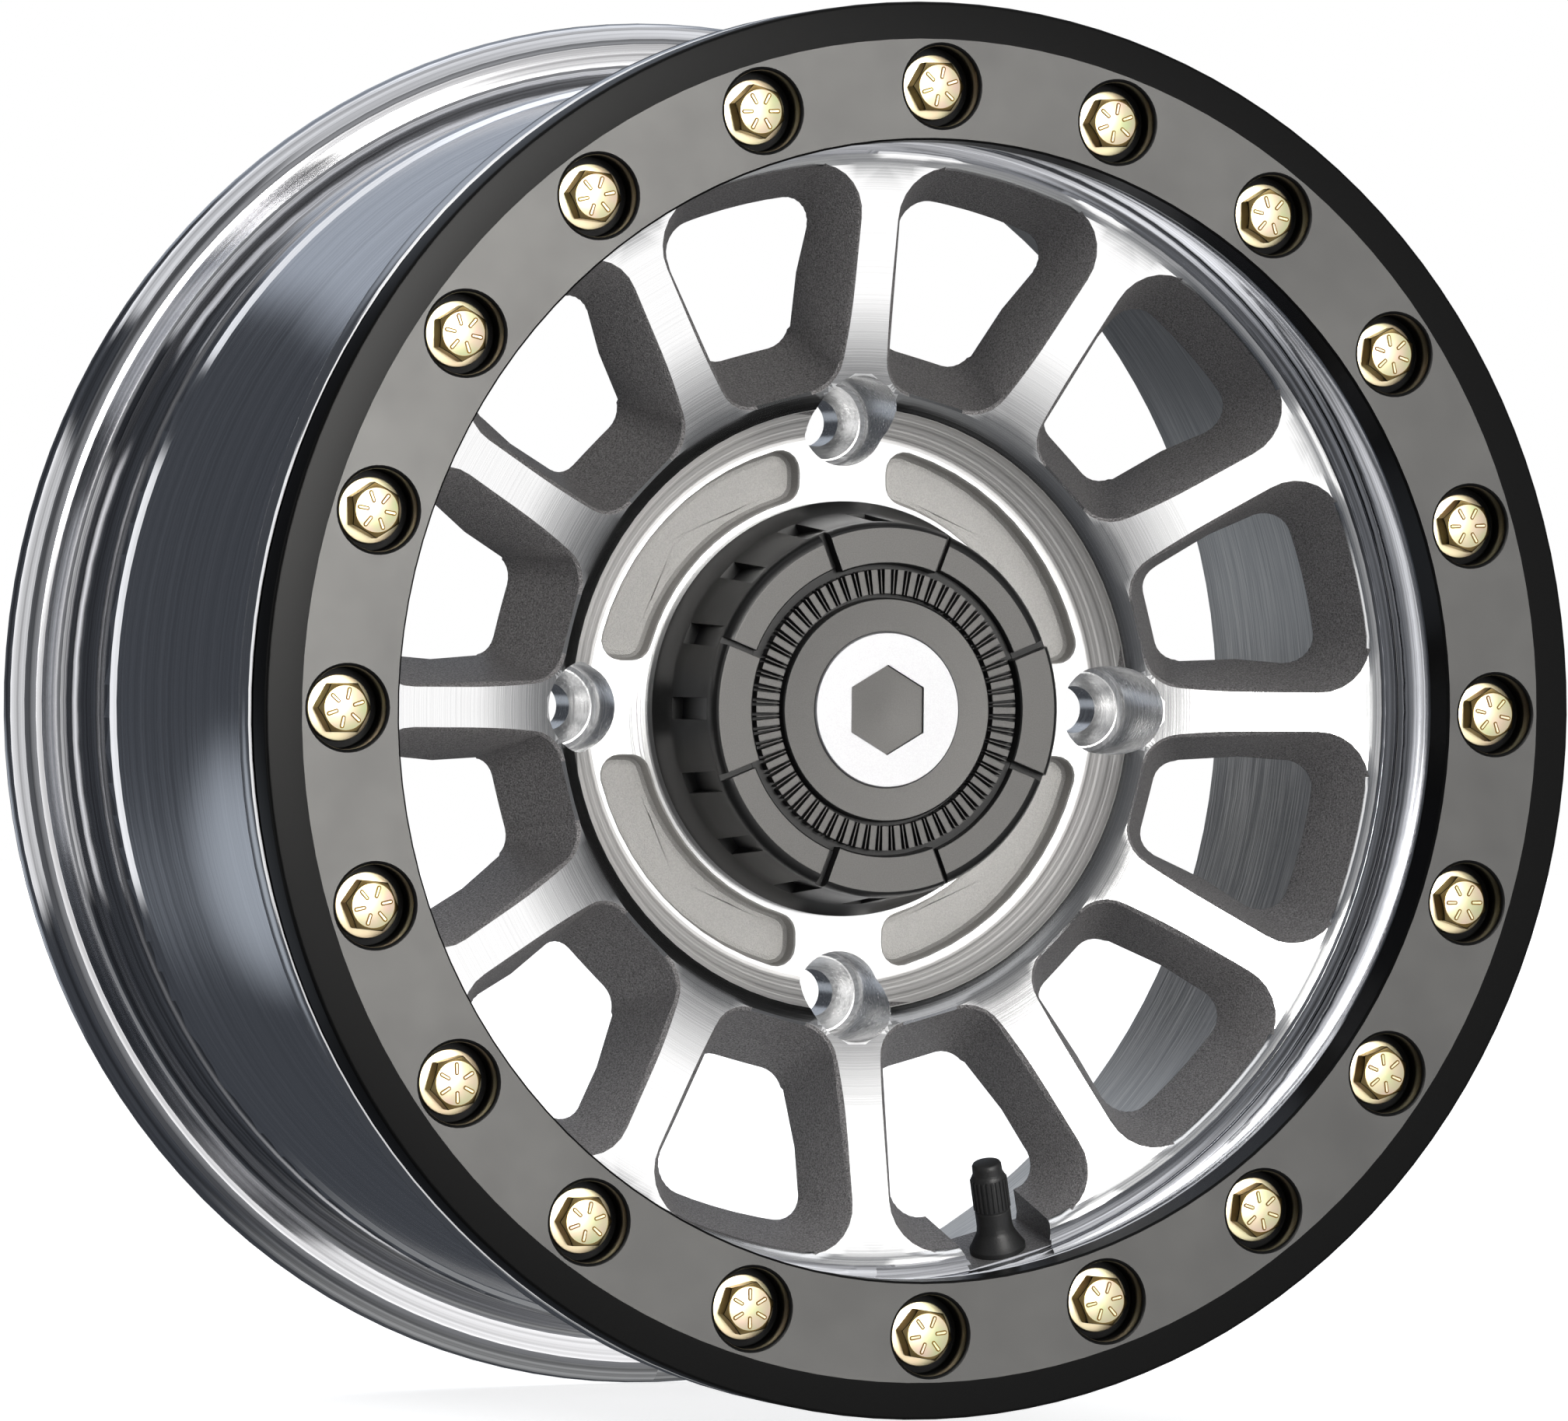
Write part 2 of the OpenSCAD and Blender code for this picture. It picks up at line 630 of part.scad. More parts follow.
module hex_head() {
    corner_r = hex_size / 2 / cos(30);
    chamfer = (corner_r - hex_size / 2) * 0.62;
    intersection() {
        translate([0, 0, hex_top])
        linear_extrude(hex_height)
        polygon([for (i = [0:5]) [corner_r * cos(60 * i), corner_r * sin(60 * i)]]);
        turned([[0, hex_top],
            [hex_size / 2 - 0.35, hex_top],
            [corner_r + 0.1, hex_top + chamfer],
            [corner_r + 0.1, washer_top - 0.3],
            [hex_size / 2, washer_top],
            [0, washer_top]], small_fn);
    }
}

module ring_bolts() {
    color("gold")
    lathe()
    for (i = [0:bolt_count - 1])
        clock(i * 360 / bolt_count)
        translate([bolt_circle_r, 0, 0])
        rotate([0, 0, head_turn(i)]) {
            hex_head();
            turned([[0, washer_top - 0.5],
                [bolt_d / 2, washer_top - 0.5],
                [bolt_d / 2, washer_top + bolt_length - 0.8],
                [bolt_d / 2 - 0.8, washer_top + bolt_length],
                [0, washer_top + bolt_length]], small_fn);
        }
}

module ring_washers() {
    color("goldenrod")
    lathe()
    around(bolt_count)
    translate([bolt_circle_r, 0, 0])
    turned([[bolt_d / 2 + 0.25, washer_top],
        [washer_od / 2 - 0.25, washer_top],
        [washer_od / 2, washer_top + 0.25],
        [washer_od / 2, bolt_bore_depth],
        [bolt_d / 2 + 0.25, bolt_bore_depth]], small_fn);
}

module thread_inserts() {
    color("dimgray")
    lathe()
    around(bolt_count)
    translate([bolt_circle_r, 0, 0])
    turned([[bolt_d / 2 + play, insert_top],
        [insert_r - 0.4, insert_top],
        [insert_r, insert_top + 0.4],
        [insert_r, insert_top + insert_length],
        [bolt_d / 2 + play, insert_top + insert_length]], small_fn);
}

cap_shell = concat(
    [[0, disc_depth + 0.5],
     [disc_r - 6, disc_depth + 0.12],
     [disc_r - 0.4, disc_depth],
     [disc_r, disc_depth + 0.4],
     [disc_r, cap_channel_depth],
     [cap_low_inner, cap_channel_depth],
     [cap_low_inner, cap_low_depth + 0.3],
     [cap_low_inner + 0.3, cap_low_depth],
     [cap_low_outer, cap_low_depth]],
    [for (a = [22.5:22.5:90])
        [mix(cap_low_outer, cap_wall_front_r, sin(a)), cap_low_depth + 3 * (1 - cos(a))]],
    [[cap_wall_rear_r, notch_rear],
     [cap_wall_rear_r + 0.5, notch_rear + 1.4],
     [cap_base_r - 0.6, pad_depth - cap_base_thick],
     [cap_base_r, pad_depth - cap_base_thick + 0.6],
     [cap_base_r, pad_depth],
     [cap_hole_r - play - leg_thick - 0.8, pad_depth],
     [cap_wall_rear_r - cap_wall - 2.2, pad_depth - 2],
     [cap_wall_front_r - cap_wall - 1.6, cap_channel_depth + 5],
     [cap_wall_front_r - cap_wall - 4, cap_channel_depth + 2.6],
     [0, cap_channel_depth + 2.6]]);

high_segment = concat(
    [[cap_high_inner, cap_channel_depth + 1],
     [cap_high_inner, cap_face_depth + 0.4],
     [cap_high_inner + 0.4, cap_face_depth],
     [cap_high_outer, cap_face_depth]],
    [for (a = [22.5:22.5:90])
        [mix(cap_high_outer, cap_wall_front_r - 0.1, sin(a)), cap_face_depth + 3.2 * (1 - cos(a))]],
    [[cap_wall_front_r - 0.1, cap_face_depth + 4.2],
     [cap_wall_front_r - 2, cap_channel_depth + 1]]);

module teeth() {
    pitch = 360 / tooth_count;
    translate([0, 0, tooth_depth])
    linear_extrude(cap_channel_depth - tooth_depth + 0.5)
    for (i = [0:tooth_count - 1]) {
        rotate(i * pitch)
        translate([tooth_inner, -tooth_w / 2])
        square([tooth_outer - tooth_inner, tooth_w]);
        rotate((i + 0.5) * pitch)
        translate([tooth_inner, -ridge_w / 2])
        square([tooth_outer - tooth_inner, ridge_w]);
    }
}

// Straight ramp: square and deep at the cap's base, running out rounded at its face
module notch_cutter() {
    run = notch_rear - notch_front;
    ramp = atan((cap_wall_front_r - cap_wall_rear_r + notch_deep) / run);
    translate([cap_wall_rear_r - notch_deep, 0, notch_rear])
    rotate([0, -ramp, 0]) {
        translate([0, -notch_w / 2, -run + notch_w / 2])
        cube([2 * notch_deep + past, notch_w, run - notch_w / 2]);
        translate([0, 0, -run + notch_w / 2])
        rotate([0, 90, 0])
        cylinder(h = 2 * notch_deep + past, r = notch_w / 2, $fn = small_fn);
    }
}

module segment_gap(angle) {
    clock(angle)
    translate([cap_low_inner - 2, -cap_groove_w / 2, cap_face_depth - past])
    cube([20, cap_groove_w, cap_groove_depth + past - 0.3]);
}

snap_leg = [
    [leg_r - leg_thick, pad_depth - 1],
    [leg_r - leg_thick, wire_depth - wire_d / 2 - 0.6],
    [leg_r - leg_thick - 0.8, wire_depth - wire_d / 2 - 0.2],
    [leg_r - leg_thick - 0.8, wire_depth - wire_d / 2],
    [leg_r - leg_thick, wire_depth - wire_d / 2],
    [leg_r - leg_thick, leg_end],
    [leg_r - 1, leg_end],
    [leg_r, leg_end - 1.6],
    [leg_r, disc_rear + 1],
    [leg_r - 0.4, disc_rear - 0.4],
    [leg_r - 0.4, pad_depth - 1]];

module center_cap() {
    color("dimgray")
    lathe() {
        difference() {
            union() {
                turned(cap_shell);
                around(4, -cap_high_angle / 2)
                rotate_extrude(angle = cap_high_angle, $fn = round_fn)
                polygon(high_segment);
            }
            around(notch_count)
            notch_cutter();
            for (q = [0:3])
                for (s = [-1, 1])
                    segment_gap(q * 90 + s * (cap_high_angle / 2 + 1.2));
            inlay_blank(play);
        }
        teeth();
        around(leg_count, (360 / leg_count - leg_angle) / 2)
        rotate_extrude(angle = leg_angle, $fn = round_fn)
        polygon(snap_leg);
    }
}

// Plain ring with a hexagonal opening, or its seat in the cap when it grows by a play
module inlay_blank(grow) {
    top = disc_depth - 0.5;
    hex_r = inlay_hex / 2 / cos(30) - grow;
    difference() {
        turned([[0, top - grow], [inlay_r - 0.4, top - grow], [inlay_r + grow, top + 0.4],
            [inlay_r + grow, top + inlay_thick], [0, top + inlay_thick]]);
        translate([0, 0, top - past])
        linear_extrude(inlay_thick + 2 * past)
        polygon([for (i = [0:5]) [hex_r * cos(60 * i + 30), hex_r * sin(60 * i + 30)]]);
    }
}

module cap_inlay() {
    color("gainsboro")
    lathe()
    inlay_blank(0);
}

module cap_retaining_ring() {
    color("slategray")
    lathe()
    rotate_extrude($fn = round_fn)
    translate([leg_r - leg_thick - wire_d / 2, wire_depth])
    circle(d = wire_d, $fn = 32);
}

module valve_body() {
    color("black")
    lathe()
    on_valve()
    turned([[stem_r, -valve_wall - 11],
        [6, -valve_wall - 11],
        [8.2, -valve_wall - 3],
        [8.2, -valve_wall - 0.6],
        [7.6, -valve_wall],
        [valve_hole_r, -valve_wall],
        [valve_hole_r, 0],
        [valve_base_d / 2, 0],
        [valve_base_d / 2, 1.3],
        [valve_base_d / 2 - 0.5, 2],
        [valve_neck_d / 2 + 1, 4.2],
        [valve_neck_d / 2 + 0.3, 5.6],
        [valve_neck_d / 2, 7.4],
        [valve_neck_d / 2, valve_neck_top - 0.4],
        [valve_neck_d / 2 - 0.4, valve_neck_top],
        [stem_r, valve_neck_top]], small_fn * 2);
}

stem_top = valve_cap_top - 2.2;

module valve_stem() {
    color("peru")
    lathe()
    on_valve()
    turned([[core_bore_r, -valve_wall - 10],
        [stem_r, -valve_wall - 10],
        [stem_r, stem_top - 0.6],
        [stem_r - 0.6, stem_top],
        [stem_bore_r, stem_top],
        [stem_bore_r, spring_foot],
        [core_bore_r, spring_foot]], small_fn);
}

pin_r = 0.8;
core_bore_r = 1.2;
core_r = stem_bore_r;
core_top = stem_top - 1;
core_base = core_top - 8;
spring_foot = 2;

module valve_core_housing() {
    color("darkgoldenrod")
    lathe()
    on_valve()
    turned([[core_bore_r, core_base],
        [core_r, core_base],
        [core_r, core_top],
        [core_bore_r, core_top]], small_fn);
}

// The pin's plate holds the seal against the housing, pressed up by the spring
module valve_core_pin() {
    color("gold")
    lathe()
    on_valve()
    turned([[0, spring_foot - 1],
        [pin_r, spring_foot - 1],
        [pin_r, core_base - 1.5],
        [pin_r + 1, core_base - 1.5],
        [pin_r + 1, core_base - 0.8],
        [pin_r, core_base - 0.8],
        [pin_r, stem_top - 0.4],
        [pin_r - 0.3, stem_top - 0.1],
        [0, stem_top - 0.1]], small_fn);
}

module valve_core_seal() {
    color("firebrick")
    lathe()
    on_valve()
    turned([[pin_r, core_base - 0.8],
        [pin_r + 1, core_base - 0.8],
        [pin_r + 1, core_base],
        [pin_r, core_base]], small_fn);
}

// Rings joined by a thin sleeve stand in for the closely wound spring
module valve_core_spring() {
    top = core_base - 1.5;
    coil = 0.42;
    turns = 8;
    pitch = (top - spring_foot) / turns;
    color("lightgray")
    lathe()
    on_valve()
    turned(concat(
        [[pin_r + 0.1, top], [pin_r + 0.1, spring_foot]],
        [for (i = [0:turns - 1]) for (k = [0:3])
            let (z = spring_foot + i * pitch)
            k == 0 ? [pin_r + 0.15 + coil * 1.2, z] :
            k == 1 ? [pin_r + 0.15 + coil * 1.2, z + coil] :
            k == 2 ? [pin_r + 0.3, z + coil] :
            [pin_r + 0.3, z + pitch]]), small_fn);
}

module valve_cap() {
    low = valve_neck_top;
    smooth = valve_cap_top - 4.4;
    core = valve_cap_d / 2 - 0.35;
    color("black")
    lathe()
    on_valve()
    difference() {
        union() {
            turned([[0, low], [core, low], [core, smooth], [4.4, smooth + 0.9], [4.1, smooth + 1.2],
                [4, valve_cap_top - 0.7], [3.7, valve_cap_top - 0.2], [3.2, valve_cap_top],
                [0, valve_cap_top]], small_fn * 2);
            for (i = [0:valve_rib_count - 1])
                rotate([0, 0, i * 360 / valve_rib_count])
                translate([core - 0.3, -0.3, low + 0.4])
                cube([0.65, 0.6, smooth - low - 0.6]);
        }
        translate([0, 0, low - past])
        cylinder(h = stem_top - low + past + 0.7, r = stem_r + play, $fn = small_fn);
    }
}

module valve_cap_seal() {
    color("darkred")
    lathe()
    on_valve()
    turned([[1.6, stem_top],
        [stem_r - 0.2, stem_top],
        [stem_r - 0.2, stem_top + 0.7],
        [1.6, stem_top + 0.7]], small_fn);
}

wheel_casting();
beadlock_ring();
ring_bolts();
ring_washers();
thread_inserts();
center_cap();
cap_inlay();
cap_retaining_ring();
valve_body();
valve_stem();
valve_core_housing();
valve_core_pin();
valve_core_spring();
valve_core_seal();
valve_cap();
valve_cap_seal();
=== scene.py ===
import json
import math

import bmesh
import bpy
from mathutils import Matrix, Vector


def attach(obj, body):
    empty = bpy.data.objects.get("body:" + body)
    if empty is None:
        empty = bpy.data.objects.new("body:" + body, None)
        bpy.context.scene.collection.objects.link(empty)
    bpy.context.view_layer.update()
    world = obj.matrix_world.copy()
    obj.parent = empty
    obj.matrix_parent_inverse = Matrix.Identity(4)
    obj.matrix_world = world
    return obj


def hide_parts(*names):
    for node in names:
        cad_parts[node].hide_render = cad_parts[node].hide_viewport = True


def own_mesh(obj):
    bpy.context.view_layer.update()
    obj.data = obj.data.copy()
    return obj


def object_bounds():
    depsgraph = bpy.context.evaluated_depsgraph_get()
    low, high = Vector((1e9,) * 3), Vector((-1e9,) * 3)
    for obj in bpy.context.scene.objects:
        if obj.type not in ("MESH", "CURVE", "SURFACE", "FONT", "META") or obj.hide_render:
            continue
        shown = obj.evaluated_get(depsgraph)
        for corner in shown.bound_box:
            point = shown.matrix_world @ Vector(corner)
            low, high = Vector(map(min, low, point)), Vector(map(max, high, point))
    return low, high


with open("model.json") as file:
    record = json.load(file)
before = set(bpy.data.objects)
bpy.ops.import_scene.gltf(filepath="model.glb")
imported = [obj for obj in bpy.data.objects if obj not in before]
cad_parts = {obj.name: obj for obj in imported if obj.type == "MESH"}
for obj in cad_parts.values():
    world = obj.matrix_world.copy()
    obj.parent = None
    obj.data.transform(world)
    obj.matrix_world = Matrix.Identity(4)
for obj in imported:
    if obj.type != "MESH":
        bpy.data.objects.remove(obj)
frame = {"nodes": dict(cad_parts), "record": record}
firstBounds = [list(corner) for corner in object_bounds()]
print("stage: frame loaded")

# Sizes are in metres, a depth is measured back from the ring's front face, a radius from the wheel's axis
wheel = {
    "ringFront": -0.0947,
    "boltCircle": 0.1656,
    "boltCount": 20,
    "lugCircle": 0.078,
}


def depthOf(point):
    return point.y - wheel["ringFront"]


def radiusOf(point):
    return math.hypot(point.x, point.z)


def within(value, span):
    return span[0] < value < span[1]


# Small helpers for node trees


def mathNode(tree, operation, first, second=None):
    node = tree.nodes.new("ShaderNodeMath")
    node.operation = operation
    for index, value in enumerate((first, second)):
        if value is None:
            continue
        if isinstance(value, (int, float)):
            node.inputs[index].default_value = value
        else:
            tree.links.new(value, node.inputs[index])
    return node.outputs[0]


def mapRange(tree, value, low, high, start=0.3, stop=0.7):  # a noise lies mostly between 0.3 and 0.7
    node = tree.nodes.new("ShaderNodeMapRange")
    node.inputs["From Min"].default_value = start
    node.inputs["From Max"].default_value = stop
    node.inputs["To Min"].default_value = low
    node.inputs["To Max"].default_value = high
    tree.links.new(value, node.inputs["Value"])
    return node.outputs[0]


def mixColors(tree, factor, low, high):
    node = tree.nodes.new("ShaderNodeMix")
    node.data_type = "RGBA"
    node.inputs["A"].default_value = (*low, 1)
    node.inputs["B"].default_value = (*high, 1)
    tree.links.new(factor, node.inputs["Factor"])
    return node.outputs["Result"]


def dimColor(tree, color, share):
    node = tree.nodes.new("ShaderNodeMix")
    node.data_type = "RGBA"
    node.blend_type = "MULTIPLY"
    node.inputs["Factor"].default_value = 1.0
    tree.links.new(color, node.inputs["A"])
    tree.links.new(share, node.inputs["B"])
    return node.outputs["Result"]


# Shader groups shared by several materials
turnedLook = {"bumpHeight": 0.00012, "detail": 2.0}
grainLook = {"bumpHeight": 0.0004, "detail": 3.0, "roughness": 0.7}


def newGroup(name, inputs, outputs):
    group = bpy.data.node_groups.new(name, "ShaderNodeTree")
    for label, kind, value in inputs:
        socket = group.interface.new_socket(label, in_out="INPUT", socket_type=kind)
        socket.default_value = value
    for label, kind in outputs:
        group.interface.new_socket(label, in_out="OUTPUT", socket_type=kind)
    return group, group.nodes.new("NodeGroupInput").outputs, group.nodes.new("NodeGroupOutput").inputs


def bumpFrom(group, height, given, reach):
    bump = group.nodes.new("ShaderNodeBump")
    bump.inputs["Distance"].default_value = reach
    group.links.new(given["Depth"], bump.inputs["Strength"])
    group.links.new(height, bump.inputs["Height"])
    group.links.new(given["Normal"], bump.inputs["Normal"])
    return bump.outputs[0]


def turnedLinesGroup():  # fine lines round the Y axis, as a lathe leaves them
    group, given, result = newGroup(
        "TurnedLines",
        [("Lines per metre", "NodeSocketFloat", 2500.0), ("Depth", "NodeSocketFloat", 0.1),
         ("Streaks", "NodeSocketFloat", 0.0), ("Normal", "NodeSocketVector", (0, 0, 0))],
        [("Normal", "NodeSocketVector"), ("Mask", "NodeSocketFloat"), ("Radius", "NodeSocketFloat")])
    place = group.nodes.new("ShaderNodeTexCoord")
    split = group.nodes.new("ShaderNodeSeparateXYZ")
    group.links.new(place.outputs["Object"], split.inputs[0])
    squareX = mathNode(group, "POWER", split.outputs["X"], 2.0)
    squareZ = mathNode(group, "POWER", split.outputs["Z"], 2.0)
    radius = mathNode(group, "SQRT", mathNode(group, "ADD", squareX, squareZ))
    angle = mathNode(group, "ARCTAN2", split.outputs["X"], split.outputs["Z"])
    joined = group.nodes.new("ShaderNodeCombineXYZ")
    linesOut = mathNode(group, "MULTIPLY", radius, given["Lines per metre"])
    group.links.new(linesOut, joined.inputs[0])
    linesAlong = mathNode(group, "MULTIPLY", split.outputs["Y"], given["Lines per metre"])
    group.links.new(linesAlong, joined.inputs[1])
    streaksRound = mathNode(group, "MULTIPLY", angle, given["Streaks"])
    group.links.new(streaksRound, joined.inputs[2])
    lines = group.nodes.new("ShaderNodeTexNoise")
    lines.inputs["Scale"].default_value = 1.0
    lines.inputs["Detail"].default_value = turnedLook["detail"]
    group.links.new(joined.outputs[0], lines.inputs["Vector"])
    group.links.new(bumpFrom(group, lines.outputs["Fac"], given, turnedLook["bumpHeight"]), result["Normal"])
    group.links.new(lines.outputs["Fac"], result["Mask"])
    group.links.new(radius, result["Radius"])
    return group


def grainGroup():  # the even grain of a cast, painted or moulded surface
    group, given, result = newGroup(
        "Grain",
        [("Scale", "NodeSocketFloat", 1800.0), ("Depth", "NodeSocketFloat", 0.3),
         ("Normal", "NodeSocketVector", (0, 0, 0))],
        [("Normal", "NodeSocketVector"), ("Mask", "NodeSocketFloat")])
    place = group.nodes.new("ShaderNodeTexCoord")
    noise = group.nodes.new("ShaderNodeTexNoise")
    noise.inputs["Detail"].default_value = grainLook["detail"]
    noise.inputs["Roughness"].default_value = grainLook["roughness"]
    group.links.new(place.outputs["Object"], noise.inputs["Vector"])
    group.links.new(given["Scale"], noise.inputs["Scale"])
    group.links.new(bumpFrom(group, noise.outputs["Fac"], given, grainLook["bumpHeight"]), result["Normal"])
    group.links.new(noise.outputs["Fac"], result["Mask"])
    return group


turnedLines = turnedLinesGroup()
grain = grainGroup()
print("stage: shader groups made")


def plainMaterial(name, color, metallic, roughness, **extra):
    material = bpy.data.materials.new(name)
    material.use_nodes = True
    shader = material.node_tree.nodes["Principled BSDF"]
    shader.inputs["Base Color"].default_value = (*color, 1)
    shader.inputs["Metallic"].default_value = metallic
    shader.inputs["Roughness"].default_value = roughness
    for label, value in extra.items():
        shader.inputs[label.replace("_", " ")].default_value = value
    return material, shader


def placeGroup(tree, group, **values):
    use = tree.nodes.new("ShaderNodeGroup")
    use.node_tree = group
    for label, value in values.items():
        use.inputs[label.replace("_", " ")].default_value = value
    return use


def softEdges(tree, radius):
    bevel = tree.nodes.new("ShaderNodeBevel")
    bevel.samples = 4
    bevel.inputs["Radius"].default_value = radius
    return bevel.outputs["Normal"]


def roundAxis(tree):
    tangent = tree.nodes.new("ShaderNodeTangent")
    tangent.direction_type = "RADIAL"
    tangent.axis = "Y"
    return tangent.outputs[0]


# dark is the darkest line's share of the colour. The last argument paints shade into the colour, dimming it
# from one radius in to another
def turnedMetal(name, color, roughness, anisotropy, lines, depth, streaks=0.0, dark=0.85, paintedHubShade=None):
    material, shader = plainMaterial(name, color, 1.0, roughness, Anisotropic=anisotropy,
                                     Anisotropic_Rotation=0.25)
    tree = material.node_tree
    tree.links.new(roundAxis(tree), shader.inputs["Tangent"])
    use = placeGroup(tree, turnedLines, Lines_per_metre=lines, Depth=depth, Streaks=streaks)
    tree.links.new(use.outputs["Normal"], shader.inputs["Normal"])
    gloss = mapRange(tree, use.outputs["Mask"], roughness * 0.8, roughness * 1.25)
    tree.links.new(gloss, shader.inputs["Roughness"])
    spread = mapRange(tree, use.outputs["Mask"], 0.0, 1.0)
    tint = mixColors(tree, spread, [channel * dark for channel in color], color)
    # Painted shade: the colour is dimmed between two radii
    if paintedHubShade:
        tint = dimColor(tree, tint, mapRange(tree, use.outputs["Radius"], paintedHubShade["share"], 1.0,
                                             paintedHubShade["inner"], paintedHubShade["outer"]))
    tree.links.new(tint, shader.inputs["Base Color"])
    return material


# low and high are the colours of the grain's pits and crests, edge rounds the corners by that radius
def grainedMaterial(name, low, high, metallic, roughness, scale, depth, edge=0.0, **extra):
    material, shader = plainMaterial(name, low, metallic, roughness, **extra)
    tree = material.node_tree
    use = placeGroup(tree, grain, Scale=scale, Depth=depth)
    if edge:
        tree.links.new(softEdges(tree, edge), use.inputs["Normal"])
    tree.links.new(use.outputs["Normal"], shader.inputs["Normal"])
    spread = mapRange(tree, use.outputs["Mask"], 0.0, 1.0)
    tree.links.new(mixColors(tree, spread, low, high), shader.inputs["Base Color"])
    return material


# Pieces that start from a copy of a CAD node


def mergedCopy(node, piece, creaseOf):
    mesh = frame["nodes"][node].data.copy()
    mesh.name = piece
    mesh.materials.clear()
    work = bmesh.new()
    work.from_mesh(mesh)
    bmesh.ops.remove_doubles(work, verts=work.verts, dist=0.000002)
    for face in work.faces:
        face.smooth = abs(face.normal.y) < 0.9999  # the flat faces stay flat
    for edge in work.edges:
        limit = math.radians(creaseOf(edge))
        edge.smooth = len(edge.link_faces) == 2 and edge.calc_face_angle(0) < limit
    return mesh, work


def placePiece(mesh, piece, body, slot, *nodes):
    made = bpy.data.objects.new(piece, mesh)
    bpy.context.scene.collection.objects.link(made)
    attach(made, body)
    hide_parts(*nodes)
    return made


def dressNode(node, piece, body, slot, materials, creaseOf, finishOf=None):
    mesh, work = mergedCopy(node, piece, creaseOf)
    if finishOf:
        for face in work.faces:
            face.material_index = finishOf(face)
    work.to_mesh(mesh)
    work.free()
    if "custom_normal" in mesh.attributes:
        mesh.attributes.remove(mesh.attributes["custom_normal"])
    for material in materials:
        mesh.materials.append(material)
    placePiece(mesh, piece, body, slot, node)


# The casting's finishes
finishes = {
    # The spoke face's colour darkens towards the hub: painted shade for the greyer reflection there
    "spokeFace": turnedMetal("spokeFace", (0.94, 0.94, 0.94), 0.19, 0.3, 2600, 0.12, dark=0.86,
                             paintedHubShade={"inner": 0.092, "outer": 0.113, "share": 0.55}),
    "hubFace": turnedMetal("hubFace", (0.93, 0.93, 0.93), 0.20, 0.5, 3000, 0.08),
    "hubCone": turnedMetal("hubCone", (0.93, 0.92, 0.91), 0.42, 0.72, 1800, 0.2, dark=0.8),
    "lip": turnedMetal("lip", (0.93, 0.94, 0.97), 0.07, 0.15, 520, 0.12, streaks=1.4, dark=0.22),
    "flangeEdge": turnedMetal("flangeEdge", (0.90, 0.90, 0.91), 0.12, 0.3, 1500, 0.10),
    "barrelOutside": turnedMetal("barrelOutside", (0.88, 0.89, 0.92), 0.12, 0.35, 900, 0.05,
                                 streaks=0.6, dark=0.8),
    "rearLip": turnedMetal("rearLip", (0.95, 0.95, 0.97), 0.08, 0.0, 620, 0.0, streaks=0.4, dark=0.3),
    "barrelInside": turnedMetal("barrelInside", (0.95, 0.94, 0.91), 0.38, 0.5, 1500, 0.4,
                                streaks=5.0, dark=0.6),
    "lugBore": turnedMetal("lugBore", (0.95, 0.95, 0.95), 0.22, 0.4, 1100, 0.30),
    "paint": grainedMaterial("paint", (0.085, 0.082, 0.083), (0.46, 0.445, 0.445), 0.65, 0.46,
                             2200, 0.9, edge=0.0003),
    "castGrey": grainedMaterial("castGrey", (0.40, 0.393, 0.38), (0.51, 0.50, 0.485), 0.8, 0.48,
                                2600, 0.7),
}
finishOrder = list(finishes)
print("stage: wheel finishes made")

# Where each finish starts and ends on the casting
zones = {
    "lugBore": {"radius": 0.0126, "depth": 0.0440},
    "flange": {"depth": 0.0231, "radius": 0.1505},
    "lip": {"depth": 0.0365, "radius": (0.1500, 0.1562)},
    "ledge": {"depth": (0.0360, 0.0380), "radius": (0.1493, 0.1545), "sideways": 0.3},
    "pocket": {"depth": (0.0655, 0.0716), "radius": (0.0580, 0.0727)},
    "spoke": {"radius": (0.0810, 0.1495), "sideways": 0.15, "skin": 0.0022},
    "hub": {"radius": 0.0822, "depth": 0.0662},
    "barrel": {"radius": 0.1600, "depth": 0.0230, "rearLip": 0.1650},
    "rearFace": {"radius": 0.1768, "depth": 0.1930},
    "inside": {"radius": 0.1405, "depth": 0.0572},
    "rimCrease": {"depth": 0.160, "angle": 7, "elsewhere": 28},
}
# The spokes' machined face falls in a straight line from the lip and curves down to the hub
spokeSlope = {"radius": 0.1471, "depth": 0.038, "slope": 0.222, "bendRadius": 0.114, "bend": 2.214}


def spokeFaceDepth(radius):
    straight = spokeSlope["depth"] + spokeSlope["slope"] * (spokeSlope["radius"] - radius)
    return straight + spokeSlope["bend"] * max(0.0, spokeSlope["bendRadius"] - radius) ** 2


def atLugBore(centre, depth):
    across = min(abs(centre.x), abs(centre.z))
    along = max(abs(centre.x), abs(centre.z))
    fromBore = math.hypot(across, along - wheel["lugCircle"])
    return fromBore < zones["lugBore"]["radius"] and depth > zones["lugBore"]["depth"]


